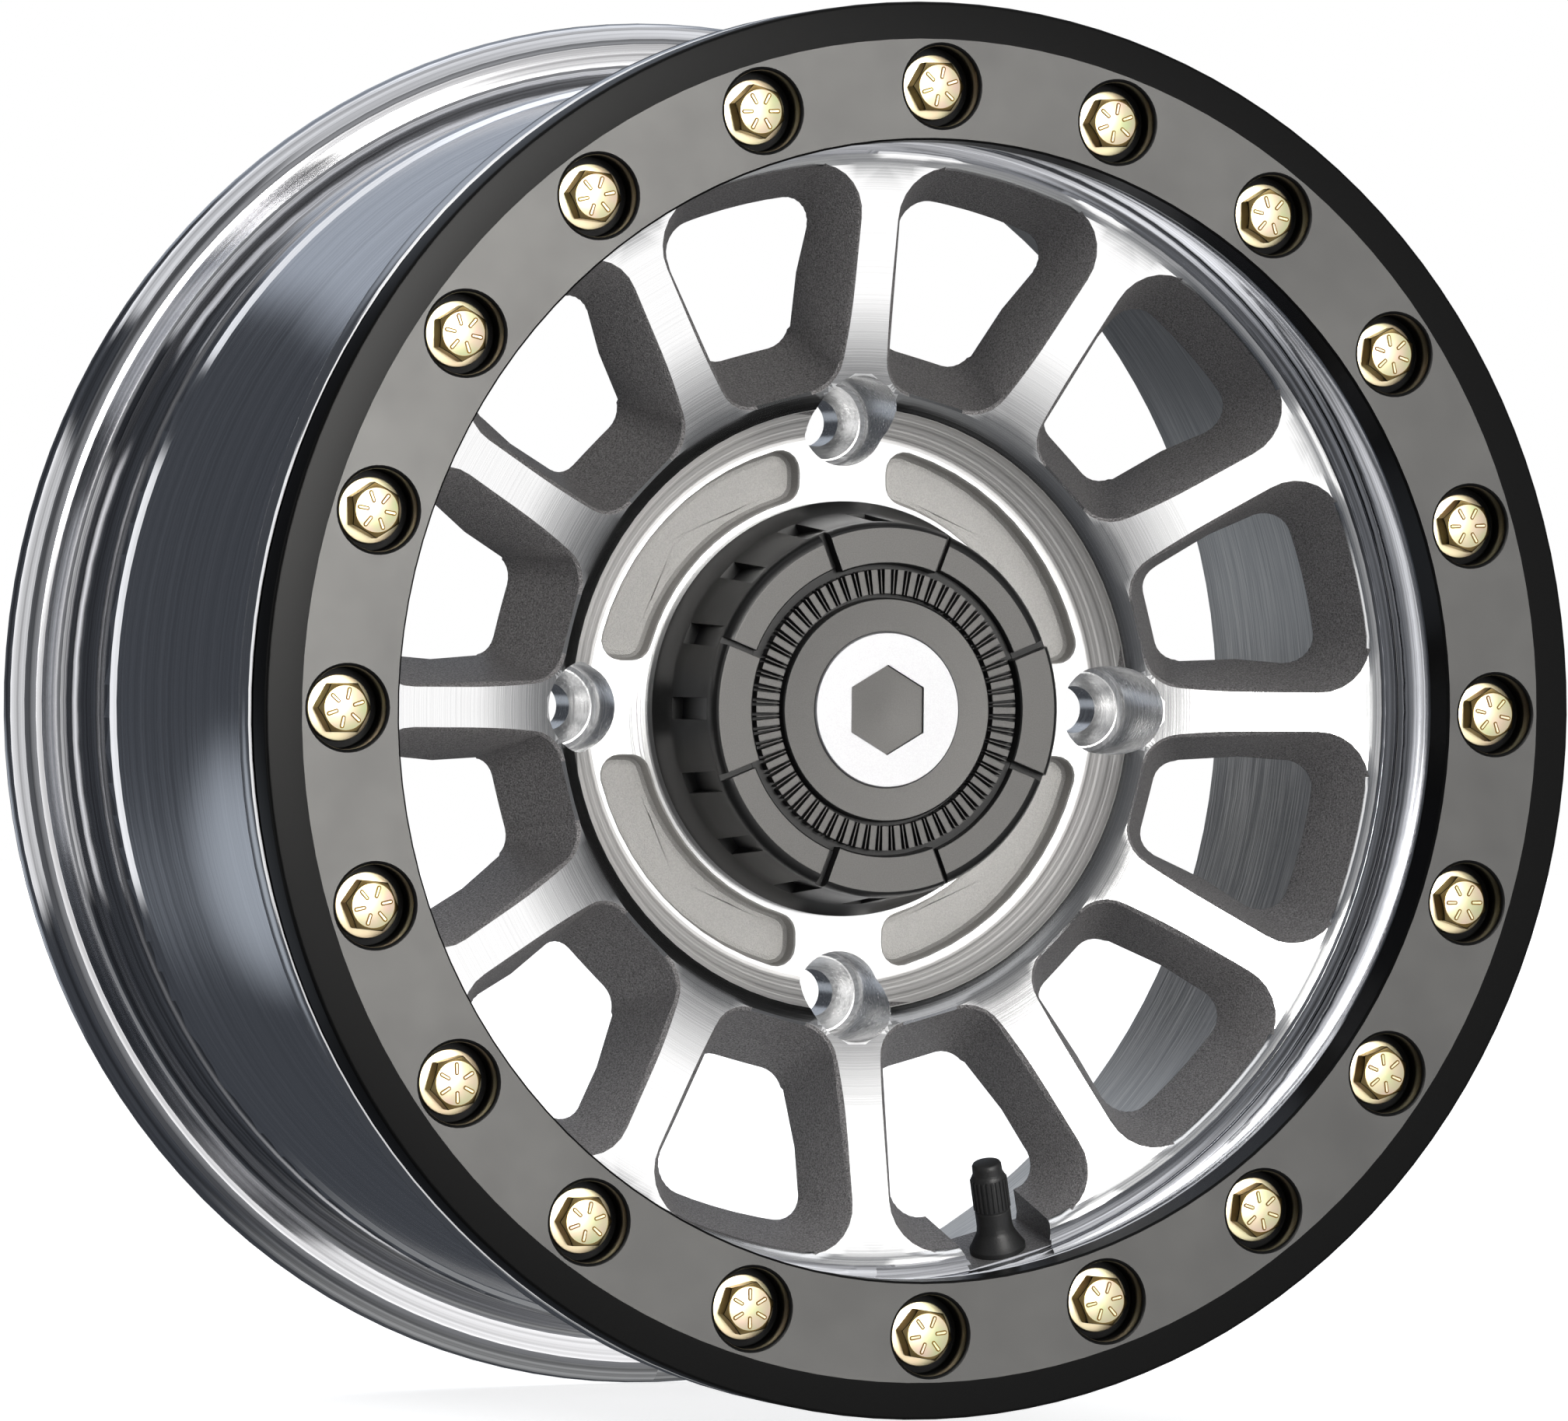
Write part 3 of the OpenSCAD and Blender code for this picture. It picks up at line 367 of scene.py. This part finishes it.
def finishOfCasting(face):
    centre = face.calc_center_median()
    normal = face.normal
    radius = radiusOf(centre)
    depth = depthOf(centre)
    outward = (normal.x * centre.x + normal.z * centre.z) / max(radius, 1e-6)
    sideways = math.sqrt(max(0.0, 1 - outward ** 2 - normal.y ** 2))
    flange, lip, ledge, pocket = zones["flange"], zones["lip"], zones["ledge"], zones["pocket"]
    spoke, hub, barrel = zones["spoke"], zones["hub"], zones["barrel"]
    rearFace, inside = zones["rearFace"], zones["inside"]
    if atLugBore(centre, depth):
        return "lugBore"
    if depth < flange["depth"] and radius > flange["radius"] and outward > -0.5:
        return "flangeEdge"
    if depth < lip["depth"] and within(radius, lip["radius"]):
        return "lip"
    if within(depth, ledge["depth"]) and within(radius, ledge["radius"]) and sideways < ledge["sideways"]:
        return "lip"
    if within(radius, pocket["radius"]) and within(depth, pocket["depth"]):
        return "castGrey"
    if normal.y < -0.6 and sideways < spoke["sideways"] and within(radius, spoke["radius"]):
        return "spokeFace" if abs(depth - spokeFaceDepth(radius)) < spoke["skin"] else "paint"
    if radius < hub["radius"] and depth < hub["depth"]:
        return "hubFace" if normal.y < -0.98 else "hubCone"
    if outward > 0.3 and radius > barrel["radius"] and depth > barrel["depth"]:
        return "rearLip" if depth > barrel["rearLip"] else "barrelOutside"
    if depth > rearFace["depth"] and radius > rearFace["radius"]:
        return "rearLip"
    if depth > inside["depth"] and radius > inside["radius"] and outward < 0.1:
        return "barrelInside"
    return "paint"


def castingCrease(edge):  # the turned bands of the rear rim meet in crisp lines
    rim = zones["rimCrease"]
    nearest = min(depthOf(vert.co) for vert in edge.verts)
    return rim["angle"] if nearest > rim["depth"] else rim["elsewhere"]


dressNode("wheel_casting", "castingSkin", "wheel", "wheel_metal", finishes.values(), castingCrease,
          lambda face: finishOrder.index(finishOfCasting(face)))
print("stage: casting done")

ring = {
    "faceDepth": 0.0080,
    "crease": 28,
}
ringFace = grainedMaterial("ringFace", (0.082, 0.081, 0.079), (0.100, 0.099, 0.096), 1.0, 0.26, 30, 0.0)
ringPaintedShade = grainedMaterial("ringPaintedShade", (0.003, 0.003, 0.003), (0.005, 0.005, 0.005), 0.0, 0.26,
                            3000, 0.03, edge=0.0004, Specular_IOR_Level=0.07)


# The ring's flat front keeps the dark anodised metal; its bevel, sides and other faces get a near-black copy:
# painted shade for the dark reflection these tilted faces show
def finishOfRing(face):
    onFace = face.normal.y < -0.9995 and depthOf(face.calc_center_median()) < ring["faceDepth"]
    return 0 if onFace else 1


dressNode("beadlock_ring", "ringSkin", "wheel", "ring_metal", (ringFace, ringPaintedShade),
          lambda edge: ring["crease"], finishOfRing)
print("stage: ring done")

# Hex bolts, modelled once with the head's top down and set round the ring
bolt = {
    "acrossFlats": 0.0127,
    "headTop": 0.0015,
    "headHeight": 0.0051,
    "shankRadius": 0.00397,
    "shankChamfer": 0.0008,
    "length": 0.0127,
    "segments": 48,
    "crownShare": 0.94,  # the round flat on the head's top
    "crownRound": 0.0002,
    "crownDrop": 0.00007,
    "chamferSlope": 0.58,
    "cornerRound": 0.00012,
    "cornerStart": 0.0001,
    "cornerEnd": 0.00028,
    "footHeight": 0.0003,  # the washer face under the head
    "footStart": 0.00045,
    "footShare": 0.99,
    "crease": 25,
}
# The raised lines on the head, each on a slightly wider dark foot, a thin sheet of painted shade round the
# line's base
mark = {
    "count": 6,
    "turn": 12,
    "inner": 0.0024,
    "outer": 0.0051,
    "half": 0.00027,
    "height": 0.00016,
    "footGrow": 0.00036,
    "footHeight": 0.00003,
    "sunk": 0.00005,
    "segments": 12,
}


def hexRadius(angle):
    folded = (angle + math.radians(30)) % math.radians(60) - math.radians(30)
    return bolt["acrossFlats"] / 2 / math.cos(folded)


def onlyVerts(geometry):
    return [item for item in geometry if isinstance(item, bmesh.types.BMVert)]


def everythingIn(work):
    return list(work.verts) + list(work.edges) + list(work.faces)


def growRing(work, edges, radiusAt, heightAt):
    made = bmesh.ops.extrude_edge_only(work, edges=edges)["geom"]
    for vert in onlyVerts(made):
        angle = math.atan2(vert.co.y, vert.co.x)
        radius = radiusAt(angle)
        vert.co = Vector((radius * math.cos(angle), radius * math.sin(angle), heightAt(radius)))
    return [item for item in made if isinstance(item, bmesh.types.BMEdge)]


def boltSteps(flat, top, base, crown):
    shank = bolt["shankRadius"]
    tip = base + bolt["length"]
    foot = flat * bolt["footShare"]
    ledge = base - bolt["footHeight"]

    def chamfer(lift):
        return lambda radius: top + lift + (radius - crown) * bolt["chamferSlope"]

    return [
        (lambda angle: crown, lambda radius: top + bolt["crownDrop"]),
        (lambda angle: hexRadius(angle) - bolt["cornerRound"], chamfer(bolt["cornerStart"])),
        (hexRadius, chamfer(bolt["cornerEnd"])),
        (hexRadius, lambda radius: base - bolt["footStart"]),
        (lambda angle: min(hexRadius(angle), flat * 1.04), lambda radius: ledge),
        (lambda angle: foot, lambda radius: ledge),
        (lambda angle: foot, lambda radius: base),
        (lambda angle: shank, lambda radius: base),
        (lambda angle: shank, lambda radius: tip - bolt["shankChamfer"]),
        (lambda angle: shank - bolt["shankChamfer"], lambda radius: tip),
    ]


def addMark(work, angle, grow, height):
    middle = (mark["inner"] + mark["outer"]) / 2
    half = (mark["outer"] - mark["inner"]) / 2
    made = bmesh.ops.create_circle(work, segments=mark["segments"], radius=mark["half"] + grow,
                                   cap_ends=True)["verts"]
    for vert in made:
        vert.co.x += math.copysign(half - mark["half"], vert.co.x)
        vert.co.z = bolt["headTop"] + mark["sunk"]
    lifted = bmesh.ops.extrude_face_region(work, geom=[made[0].link_faces[0]])["geom"]
    raised = onlyVerts(lifted)
    bmesh.ops.translate(work, verts=raised, vec=(0, 0, -height - mark["sunk"]))
    bmesh.ops.translate(work, verts=made + raised, vec=(middle, 0, 0))
    bmesh.ops.rotate(work, verts=made + raised, cent=(0, 0, 0), matrix=Matrix.Rotation(angle, 3, "Z"))


def buildBolt():
    work = bmesh.new()
    flat = bolt["acrossFlats"] / 2
    top = bolt["headTop"]
    crown = flat * bolt["crownShare"]
    bmesh.ops.create_circle(work, segments=bolt["segments"], radius=crown - bolt["crownRound"], cap_ends=True)
    for vert in work.verts:
        vert.co.z = top
    edges = list(work.edges)
    for radiusAt, heightAt in boltSteps(flat, top, top + bolt["headHeight"], crown):
        edges = growRing(work, edges, radiusAt, heightAt)
    bmesh.ops.edgeloop_fill(work, edges=edges)
    for line in range(mark["count"]):
        angle = math.radians(360 / mark["count"] * line + mark["turn"])
        addMark(work, angle, mark["footGrow"], mark["footHeight"])
        addMark(work, angle, 0.0, mark["height"])
    bmesh.ops.recalc_face_normals(work, faces=work.faces)
    return work


def finishOfBolt(face):  # 0 is the head's top, 1 the rest, 2 the foot and sides of the raised lines, which carry painted shade
    top = bolt["headTop"]
    centre = face.calc_center_median()
    onTop = centre.z < top + 0.0001 and math.hypot(centre.x, centre.y) < bolt["acrossFlats"] / 2
    if onTop and abs(face.normal.z) > 0.95:
        return 2 if top - 2 * mark["footHeight"] < centre.z < top - 0.00001 else 0
    return 2 if onTop and centre.z < top else 1


def clockMatrix(angle, radius, turn):
    along = Matrix.Rotation(math.radians(-90), 4, "X")
    clock = Matrix.Rotation(math.radians(angle - 90), 4, "Z")
    out = Matrix.Translation((radius, 0, 0)) @ Matrix.Rotation(math.radians(turn), 4, "Z")
    back = Matrix.Translation((0, wheel["ringFront"], 0))
    return back @ along @ clock @ out


def spreadRound(work, turnOf):
    source = everythingIn(work)
    copies = []
    for index in range(wheel["boltCount"]):
        made = bmesh.ops.duplicate(work, geom=source)["geom"]
        place = clockMatrix(index * 360 / wheel["boltCount"], wheel["boltCircle"], turnOf(index))
        copies.append((onlyVerts(made), place))
    bmesh.ops.delete(work, geom=onlyVerts(source), context="VERTS")
    for verts, matrix in copies:
        bmesh.ops.transform(work, matrix=matrix, verts=verts)


def headTurn(index):  # each head stops at its own angle, in degrees
    return (index * index * 17 + index * 23) % 60


def finishMesh(work, name, crease, *materials):
    limit = math.radians(crease)
    for face in work.faces:
        face.smooth = True
    for edge in work.edges:
        edge.smooth = len(edge.link_faces) == 2 and edge.calc_face_angle(0) < limit
    mesh = bpy.data.meshes.new(name)
    work.to_mesh(mesh)
    work.free()
    for material in materials:
        mesh.materials.append(material)
    return mesh


def zincMaterial(name, low, high, roughness):  # zinc plating wanders between two colours
    material, shader = plainMaterial(name, low, 1.0, roughness)
    tree = material.node_tree
    place = tree.nodes.new("ShaderNodeTexCoord")
    noise = tree.nodes.new("ShaderNodeTexNoise")
    noise.inputs["Scale"].default_value = 160.0
    noise.inputs["Detail"].default_value = 1.0
    tree.links.new(place.outputs["Object"], noise.inputs["Vector"])
    spread = mapRange(tree, noise.outputs["Fac"], 0.0, 1.0)
    tree.links.new(mixColors(tree, spread, low, high), shader.inputs["Base Color"])
    return material


# The head's top is a paler copy of the zinc and its sides a darker one: painted highlight on the top, painted
# shade on the sides; the wandering tint is the plating's own
zincTopHighlight = zincMaterial("zincTopHighlight", (0.62, 0.46, 0.37), (0.48, 0.52, 0.29), 0.32)
zincSide = zincMaterial("zincSide", (0.42, 0.27, 0.09), (0.62, 0.46, 0.20), 0.22)
# A dark zinc for the raised lines' feet and sides: painted shade
zincLineShade = zincMaterial("zincLineShade", (0.10, 0.055, 0.012), (0.16, 0.09, 0.02), 0.5)
zincPale = zincMaterial("zincPale", (0.86, 0.68, 0.46), (0.82, 0.76, 0.48), 0.3)
boltWork = buildBolt()
for boltPart in boltWork.faces:
    boltPart.material_index = finishOfBolt(boltPart)
spreadRound(boltWork, headTurn)
boltMesh = finishMesh(boltWork, "boltSkin", bolt["crease"], zincTopHighlight, zincSide, zincLineShade)
placePiece(boltMesh, "boltSkin", "wheel", "bolt_zinc", "ring_bolts")
print("stage: bolts done")

# Flat washers under the bolt heads
washer = {
    "outer": 0.0087,
    "inner": 0.00422,
    "top": 0.0066,
    "bottom": 0.0082,
    "soft": 0.0003,
    "segments": 48,
    "crease": 40,
}


def buildWasher():
    work = bmesh.new()
    soft = washer["soft"]
    inner, outer, top, bottom = washer["inner"], washer["outer"], washer["top"], washer["bottom"]
    profile = [
        (inner, bottom),
        (inner, top + soft * 0.3),
        (inner + soft * 0.3, top),
        (outer - soft, top),
        (outer - soft * 0.3, top + soft * 0.3),
        (outer, top + soft),
        (outer, bottom),
    ]
    verts = [work.verts.new((radius, 0, height)) for radius, height in profile]
    edges = [work.edges.new((vert, verts[(index + 1) % len(verts)])) for index, vert in enumerate(verts)]
    bmesh.ops.spin(work, geom=verts + edges, cent=(0, 0, 0), axis=(0, 0, 1), angle=math.tau,
                   steps=washer["segments"], use_merge=True)
    bmesh.ops.recalc_face_normals(work, faces=work.faces)
    return work


washerWork = buildWasher()
spreadRound(washerWork, lambda index: 0)
washerMesh = finishMesh(washerWork, "washerSkin", washer["crease"], zincPale)
placePiece(washerMesh, "washerSkin", "wheel", "washer_zinc", "ring_washers")
print("stage: washers done")

cap = {
    "faceDepth": 0.0352,
    "crease": 24,
    "inlayCrease": 30,
}
capSatin = grainedMaterial("capSatin", (0.064, 0.063, 0.061), (0.084, 0.082, 0.080), 1.0, 0.35,
                           3000, 0.1, edge=0.0003)
capPaintedShade = grainedMaterial("capPaintedShade", (0.006, 0.006, 0.006), (0.010, 0.010, 0.010), 0.0, 0.34,
                          3000, 0.05, edge=0.0003, Specular_IOR_Level=0.30)


# The cap's flat front faces get the satin finish; all its other faces get a near-black copy: painted shade
# for the dark reflection of its tilted sides
def finishOfCap(face):
    onFace = face.normal.y < -0.995 and depthOf(face.calc_center_median()) < cap["faceDepth"]
    return 0 if onFace else 1


dressNode("center_cap", "capSkin", "cap", "cap_plastic", (capSatin, capPaintedShade),
          lambda edge: cap["crease"], finishOfCap)
inlaySilver = grainedMaterial("inlaySilver", (0.34, 0.34, 0.35), (0.39, 0.39, 0.40), 0.9, 0.4,
                              3000, 0.1, edge=0.0002)
dressNode("cap_inlay", "inlaySkin", "cap", "inlay_silver", (inlaySilver,), lambda edge: cap["inlayCrease"])
print("stage: cap done")

valve = {
    "crease": 30,
}
rubber = grainedMaterial("valveRubber", (0.012, 0.012, 0.012), (0.02, 0.02, 0.02), 0.0, 0.42,
                         2500, 0.2, edge=0.0003)
for valveNode, valvePiece, valveBody, valveSlot in (
    ("valve_body", "valveRubberSkin", "wheel", "valve_rubber"),
    ("valve_cap", "valveCapSkin", "valve_dust_cap", "valve_cap_plastic"),
):
    dressNode(valveNode, valvePiece, valveBody, valveSlot, (rubber,), lambda edge: valve["crease"])
print("stage: valve done")

# The valve core's spring, a wound wire, built at the CAD spring's length along the pin's press axis
spring = {
    "inner": 0.0009,
    "wire": 0.00045,
    "wireSegments": 10,
    "turns": 8,
    "stepsPerTurn": 24,
    "crease": 40,
    "joint": "valve_pin_press",
}


def middleOf(values):
    return (min(values) + max(values)) / 2


def springPlace(axis):  # the CAD spring's foot, direction and length
    turn = axis.to_track_quat("Z", "Y").to_matrix()
    points = [turn.transposed() @ vert.co for vert in frame["nodes"]["valve_core_spring"].data.vertices]
    foot = min(point.z for point in points)
    length = max(point.z for point in points) - foot
    middle = Vector((middleOf([point.x for point in points]), middleOf([point.y for point in points]), foot))
    place = turn.to_4x4()
    place.translation = turn @ middle
    return place, length


def buildSpring(length):
    work = bmesh.new()
    half = spring["wire"] / 2
    bmesh.ops.create_circle(work, segments=spring["wireSegments"], radius=half, cap_ends=True)
    upright = Matrix.Rotation(math.radians(90), 3, "X")
    bmesh.ops.rotate(work, verts=work.verts, cent=(0, 0, 0), matrix=upright)
    bmesh.ops.translate(work, verts=work.verts, vec=(spring["inner"] + half, 0, half))
    steps = spring["turns"] * spring["stepsPerTurn"]
    rise = (length - spring["wire"]) / steps
    bmesh.ops.spin(work, geom=everythingIn(work), cent=(0, 0, 0), axis=(0, 0, 1), dvec=(0, 0, rise),
                   angle=math.tau * spring["turns"], steps=steps, use_merge=False)
    bmesh.ops.recalc_face_normals(work, faces=work.faces)
    return work


joints = {joint["name"]: joint for joint in frame["record"]["behaviour"]["joints"]}
pressJoint = joints[spring["joint"]]
pressAxis = -Vector(pressJoint["axis"])
springMatrix, springLength = springPlace(pressAxis)
springWork = buildSpring(springLength)
bmesh.ops.transform(springWork, matrix=springMatrix, verts=springWork.verts)
springSteel = grainedMaterial("springSteel", (0.55, 0.55, 0.56), (0.68, 0.68, 0.69), 1.0, 0.28, 6000, 0.1)
springMesh = finishMesh(springWork, "springWire", spring["crease"], springSteel)
springPiece = placePiece(springMesh, "springWire", "wheel", "spring_steel", "valve_core_spring")
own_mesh(springPiece)
print("stage: spring done")

# Inner pieces keep their CAD meshes, each with a colour, a metal share and a roughness
innerFinishes = {
    "thread_inserts": ((0.55, 0.55, 0.56), 1.0, 0.3),
    "cap_retaining_ring": ((0.45, 0.45, 0.47), 1.0, 0.3),
    "valve_stem": ((0.72, 0.55, 0.25), 1.0, 0.3),
    "valve_core_housing": ((0.72, 0.55, 0.25), 1.0, 0.3),
    "valve_core_pin": ((0.78, 0.62, 0.32), 1.0, 0.25),
    "valve_core_seal": ((0.3, 0.03, 0.03), 0.0, 0.5),
    "valve_cap_seal": ((0.3, 0.03, 0.03), 0.0, 0.5),
}
for innerNode, innerFinish in innerFinishes.items():
    innerMesh = frame["nodes"][innerNode].data
    innerMesh.materials.clear()
    innerMesh.materials.append(plainMaterial(innerNode + "Finish", *innerFinish)[0])
print("stage: inner pieces done")

# A pale floor under the wheel, which takes its shadow and gives the wheel nothing back
floor = {
    "radius": 6.0,
    "gap": 0.0002,
    "segments": 96,
    "color": (0.85, 0.85, 0.85),
    "roughness": 0.9,
    "glow": 0.72,
}


def floorMaterial():
    material, shader = plainMaterial("floorPaper", floor["color"], 0.0, floor["roughness"],
                                     Specular_IOR_Level=0.0, Emission_Color=(1, 1, 1, 1))
    tree = material.node_tree
    path = tree.nodes.new("ShaderNodeLightPath")
    glow = mathNode(tree, "MULTIPLY", path.outputs["Is Camera Ray"], floor["glow"])
    tree.links.new(glow, shader.inputs["Emission Strength"])
    return material


def addFloor():
    work = bmesh.new()
    bmesh.ops.create_circle(work, segments=floor["segments"], radius=floor["radius"], cap_ends=True)
    bmesh.ops.translate(work, verts=work.verts, vec=(0, 0, firstBounds[0][2] - floor["gap"]))
    mesh = bpy.data.meshes.new("floor")
    work.to_mesh(mesh)
    work.free()
    mesh.materials.append(floorMaterial())
    made = bpy.data.objects.new("floor", mesh)
    made.visible_diffuse = False
    made.visible_glossy = False
    made.visible_transmission = False
    made.visible_shadow = False
    bpy.context.scene.collection.objects.link(made)


addFloor()
print("stage: floor done")

# Light: a dim room with round patches and square panels. A patch has its full colour up to the inner angle
# from its aim and ends at the outer one. A panel's halves are shares of its distance along the aim.
light = {
    "room": (0.055, 0.06, 0.07),
    "patches": [
        {"aim": (0.32, -0.945, 0.03), "inner": 26, "outer": 37, "color": (0.95, 0.94, 0.93)},
        {"aim": (0.28, -0.955, 0.07), "inner": 35, "outer": 80, "color": (0.22, 0.22, 0.22)},
        {"aim": (0.12, -0.98, 0.15), "inner": 3, "outer": 12, "color": (28.0, 27.6, 26.8)},
        {"aim": (0.30, 0.10, -0.95), "inner": 15, "outer": 50, "color": (0.30, 0.30, 0.29)},
        {"aim": (0.20, 0.75, 0.62), "inner": 22, "outer": 29, "color": (0.32, 0.35, 0.40)},
        {"aim": (-0.33, 0.92, -0.19), "inner": 4, "outer": 12, "color": (0.34, 0.37, 0.41)},
    ],
    "panels": [
        {"aim": (-1, 0.085, 0.05), "sides": (((0, 1, 0), 0.52), ((0, 0, 1), 0.49)), "color": (1.0, 1.0, 1.0)},
        {"aim": (-0.06, 0.08, 1), "sides": (((1, 0, 0), 0.84), ((0, 1, 0), 0.78)),
         "color": (0.95, 0.96, 0.98)},
    ],
    "panelFade": (0.09, 0.03),  # outside and inside a panel's edge
    "backdrop": {"aim": (0.382, 0.924, -0.013), "inner": 5.0, "outer": 7.0},
}


def alongAxis(tree, direction, axis):
    dot = tree.nodes.new("ShaderNodeVectorMath")
    dot.operation = "DOT_PRODUCT"
    dot.inputs[1].default_value = Vector(axis)
    tree.links.new(direction, dot.inputs[0])
    return dot.outputs["Value"]


def fadeBetween(tree, value, low, high):
    fade = tree.nodes.new("ShaderNodeMapRange")
    fade.interpolation_type = "SMOOTHSTEP"
    fade.inputs["From Min"].default_value = low
    fade.inputs["From Max"].default_value = high
    tree.links.new(value, fade.inputs["Value"])
    return fade.outputs[0]


def patchMask(tree, direction, patch):
    towards = alongAxis(tree, direction, Vector(patch["aim"]).normalized())
    return fadeBetween(tree, towards, math.cos(math.radians(patch["outer"])),
                       math.cos(math.radians(patch["inner"])))


def panelMask(tree, direction, panel):
    aim = Vector(panel["aim"])
    forward = aim / aim.length_squared
    ahead = alongAxis(tree, direction, forward)
    mask = mathNode(tree, "GREATER_THAN", ahead, 0.01)
    outside, inside = light["panelFade"]
    for axis, half in panel["sides"]:
        offset = Vector(axis) - forward * Vector(axis).dot(aim)
        across = mathNode(tree, "DIVIDE", alongAxis(tree, direction, offset), ahead)
        inward = mathNode(tree, "MULTIPLY", mathNode(tree, "ABSOLUTE", across), -1.0)
        side = fadeBetween(tree, inward, -half - outside, -half + inside)
        mask = mathNode(tree, "MULTIPLY", mask, side)
    return mask


def addGlow(tree, mask, color, total):
    add = tree.nodes.new("ShaderNodeMix")
    add.data_type = "RGBA"
    add.blend_type = "ADD"
    add.clamp_result = False
    add.inputs["B"].default_value = (*color, 1)
    tree.links.new(mask, add.inputs["Factor"])
    if total is None:
        add.inputs["A"].default_value = (*light["room"], 1)
    else:
        tree.links.new(total, add.inputs["A"])
    return add.outputs["Result"]


def whiteWhere(tree, direction):  # all that the camera sees, and the backdrop in metal and glass
    path = tree.nodes.new("ShaderNodeLightPath").outputs
    mirrored = mathNode(tree, "MAXIMUM", path["Is Glossy Ray"], path["Is Transmission Ray"])
    behind = mathNode(tree, "MULTIPLY", mirrored, patchMask(tree, direction, light["backdrop"]))
    return mathNode(tree, "MAXIMUM", path["Is Camera Ray"], behind)


def buildWorld():
    world = bpy.data.worlds.new("studio")
    bpy.context.scene.world = world
    world.use_nodes = True
    tree = world.node_tree
    tree.nodes.clear()
    direction = tree.nodes.new("ShaderNodeTexCoord").outputs["Generated"]
    total = None
    for patch in light["patches"]:
        total = addGlow(tree, patchMask(tree, direction, patch), patch["color"], total)
    for panel in light["panels"]:
        total = addGlow(tree, panelMask(tree, direction, panel), panel["color"], total)
    glow = tree.nodes.new("ShaderNodeBackground")
    tree.links.new(total, glow.inputs["Color"])
    white = tree.nodes.new("ShaderNodeBackground")
    white.inputs["Color"].default_value = (1, 1, 1, 1)
    pick = tree.nodes.new("ShaderNodeMixShader")
    output = tree.nodes.new("ShaderNodeOutputWorld")
    tree.links.new(whiteWhere(tree, direction), pick.inputs[0])
    tree.links.new(glow.outputs[0], pick.inputs[1])
    tree.links.new(white.outputs[0], pick.inputs[2])
    tree.links.new(pick.outputs[0], output.inputs["Surface"])


buildWorld()
print("stage: light done")

# The photo's camera, turned back by the wheel's own small turn in the photo
shot = {
    "place": (-0.97172, -2.33841, 0.03230),
    "forward": (0.382174, 0.923998, -0.013073),
    "right": (0.924058, -0.382241, -0.002983),
    "up": (0.007754, 0.010941, 0.999910),
    "turn": -0.764,
    "lens": 211.8,
    "sensor": 36.0,
    "nearest": 0.1,
    "farthest": 20.0,
}


def addCamera():
    data = bpy.data.cameras.new("camera")
    data.lens = shot["lens"]
    data.sensor_width = shot["sensor"]
    data.clip_start = shot["nearest"]
    data.clip_end = shot["farthest"]
    data.dof.use_dof = False
    made = bpy.data.objects.new("camera", data)
    bpy.context.scene.collection.objects.link(made)
    turn = Matrix.Rotation(math.radians(shot["turn"]), 3, "Y")
    axes = Matrix((Vector(shot["right"]), Vector(shot["up"]), -Vector(shot["forward"]))).transposed()
    matrix = (turn @ axes).to_4x4()
    matrix.translation = turn @ Vector(shot["place"])
    made.matrix_world = matrix
    bpy.context.scene.camera = made


addCamera()
bpy.context.scene.view_settings.view_transform = "Standard"
print("stage: camera done")
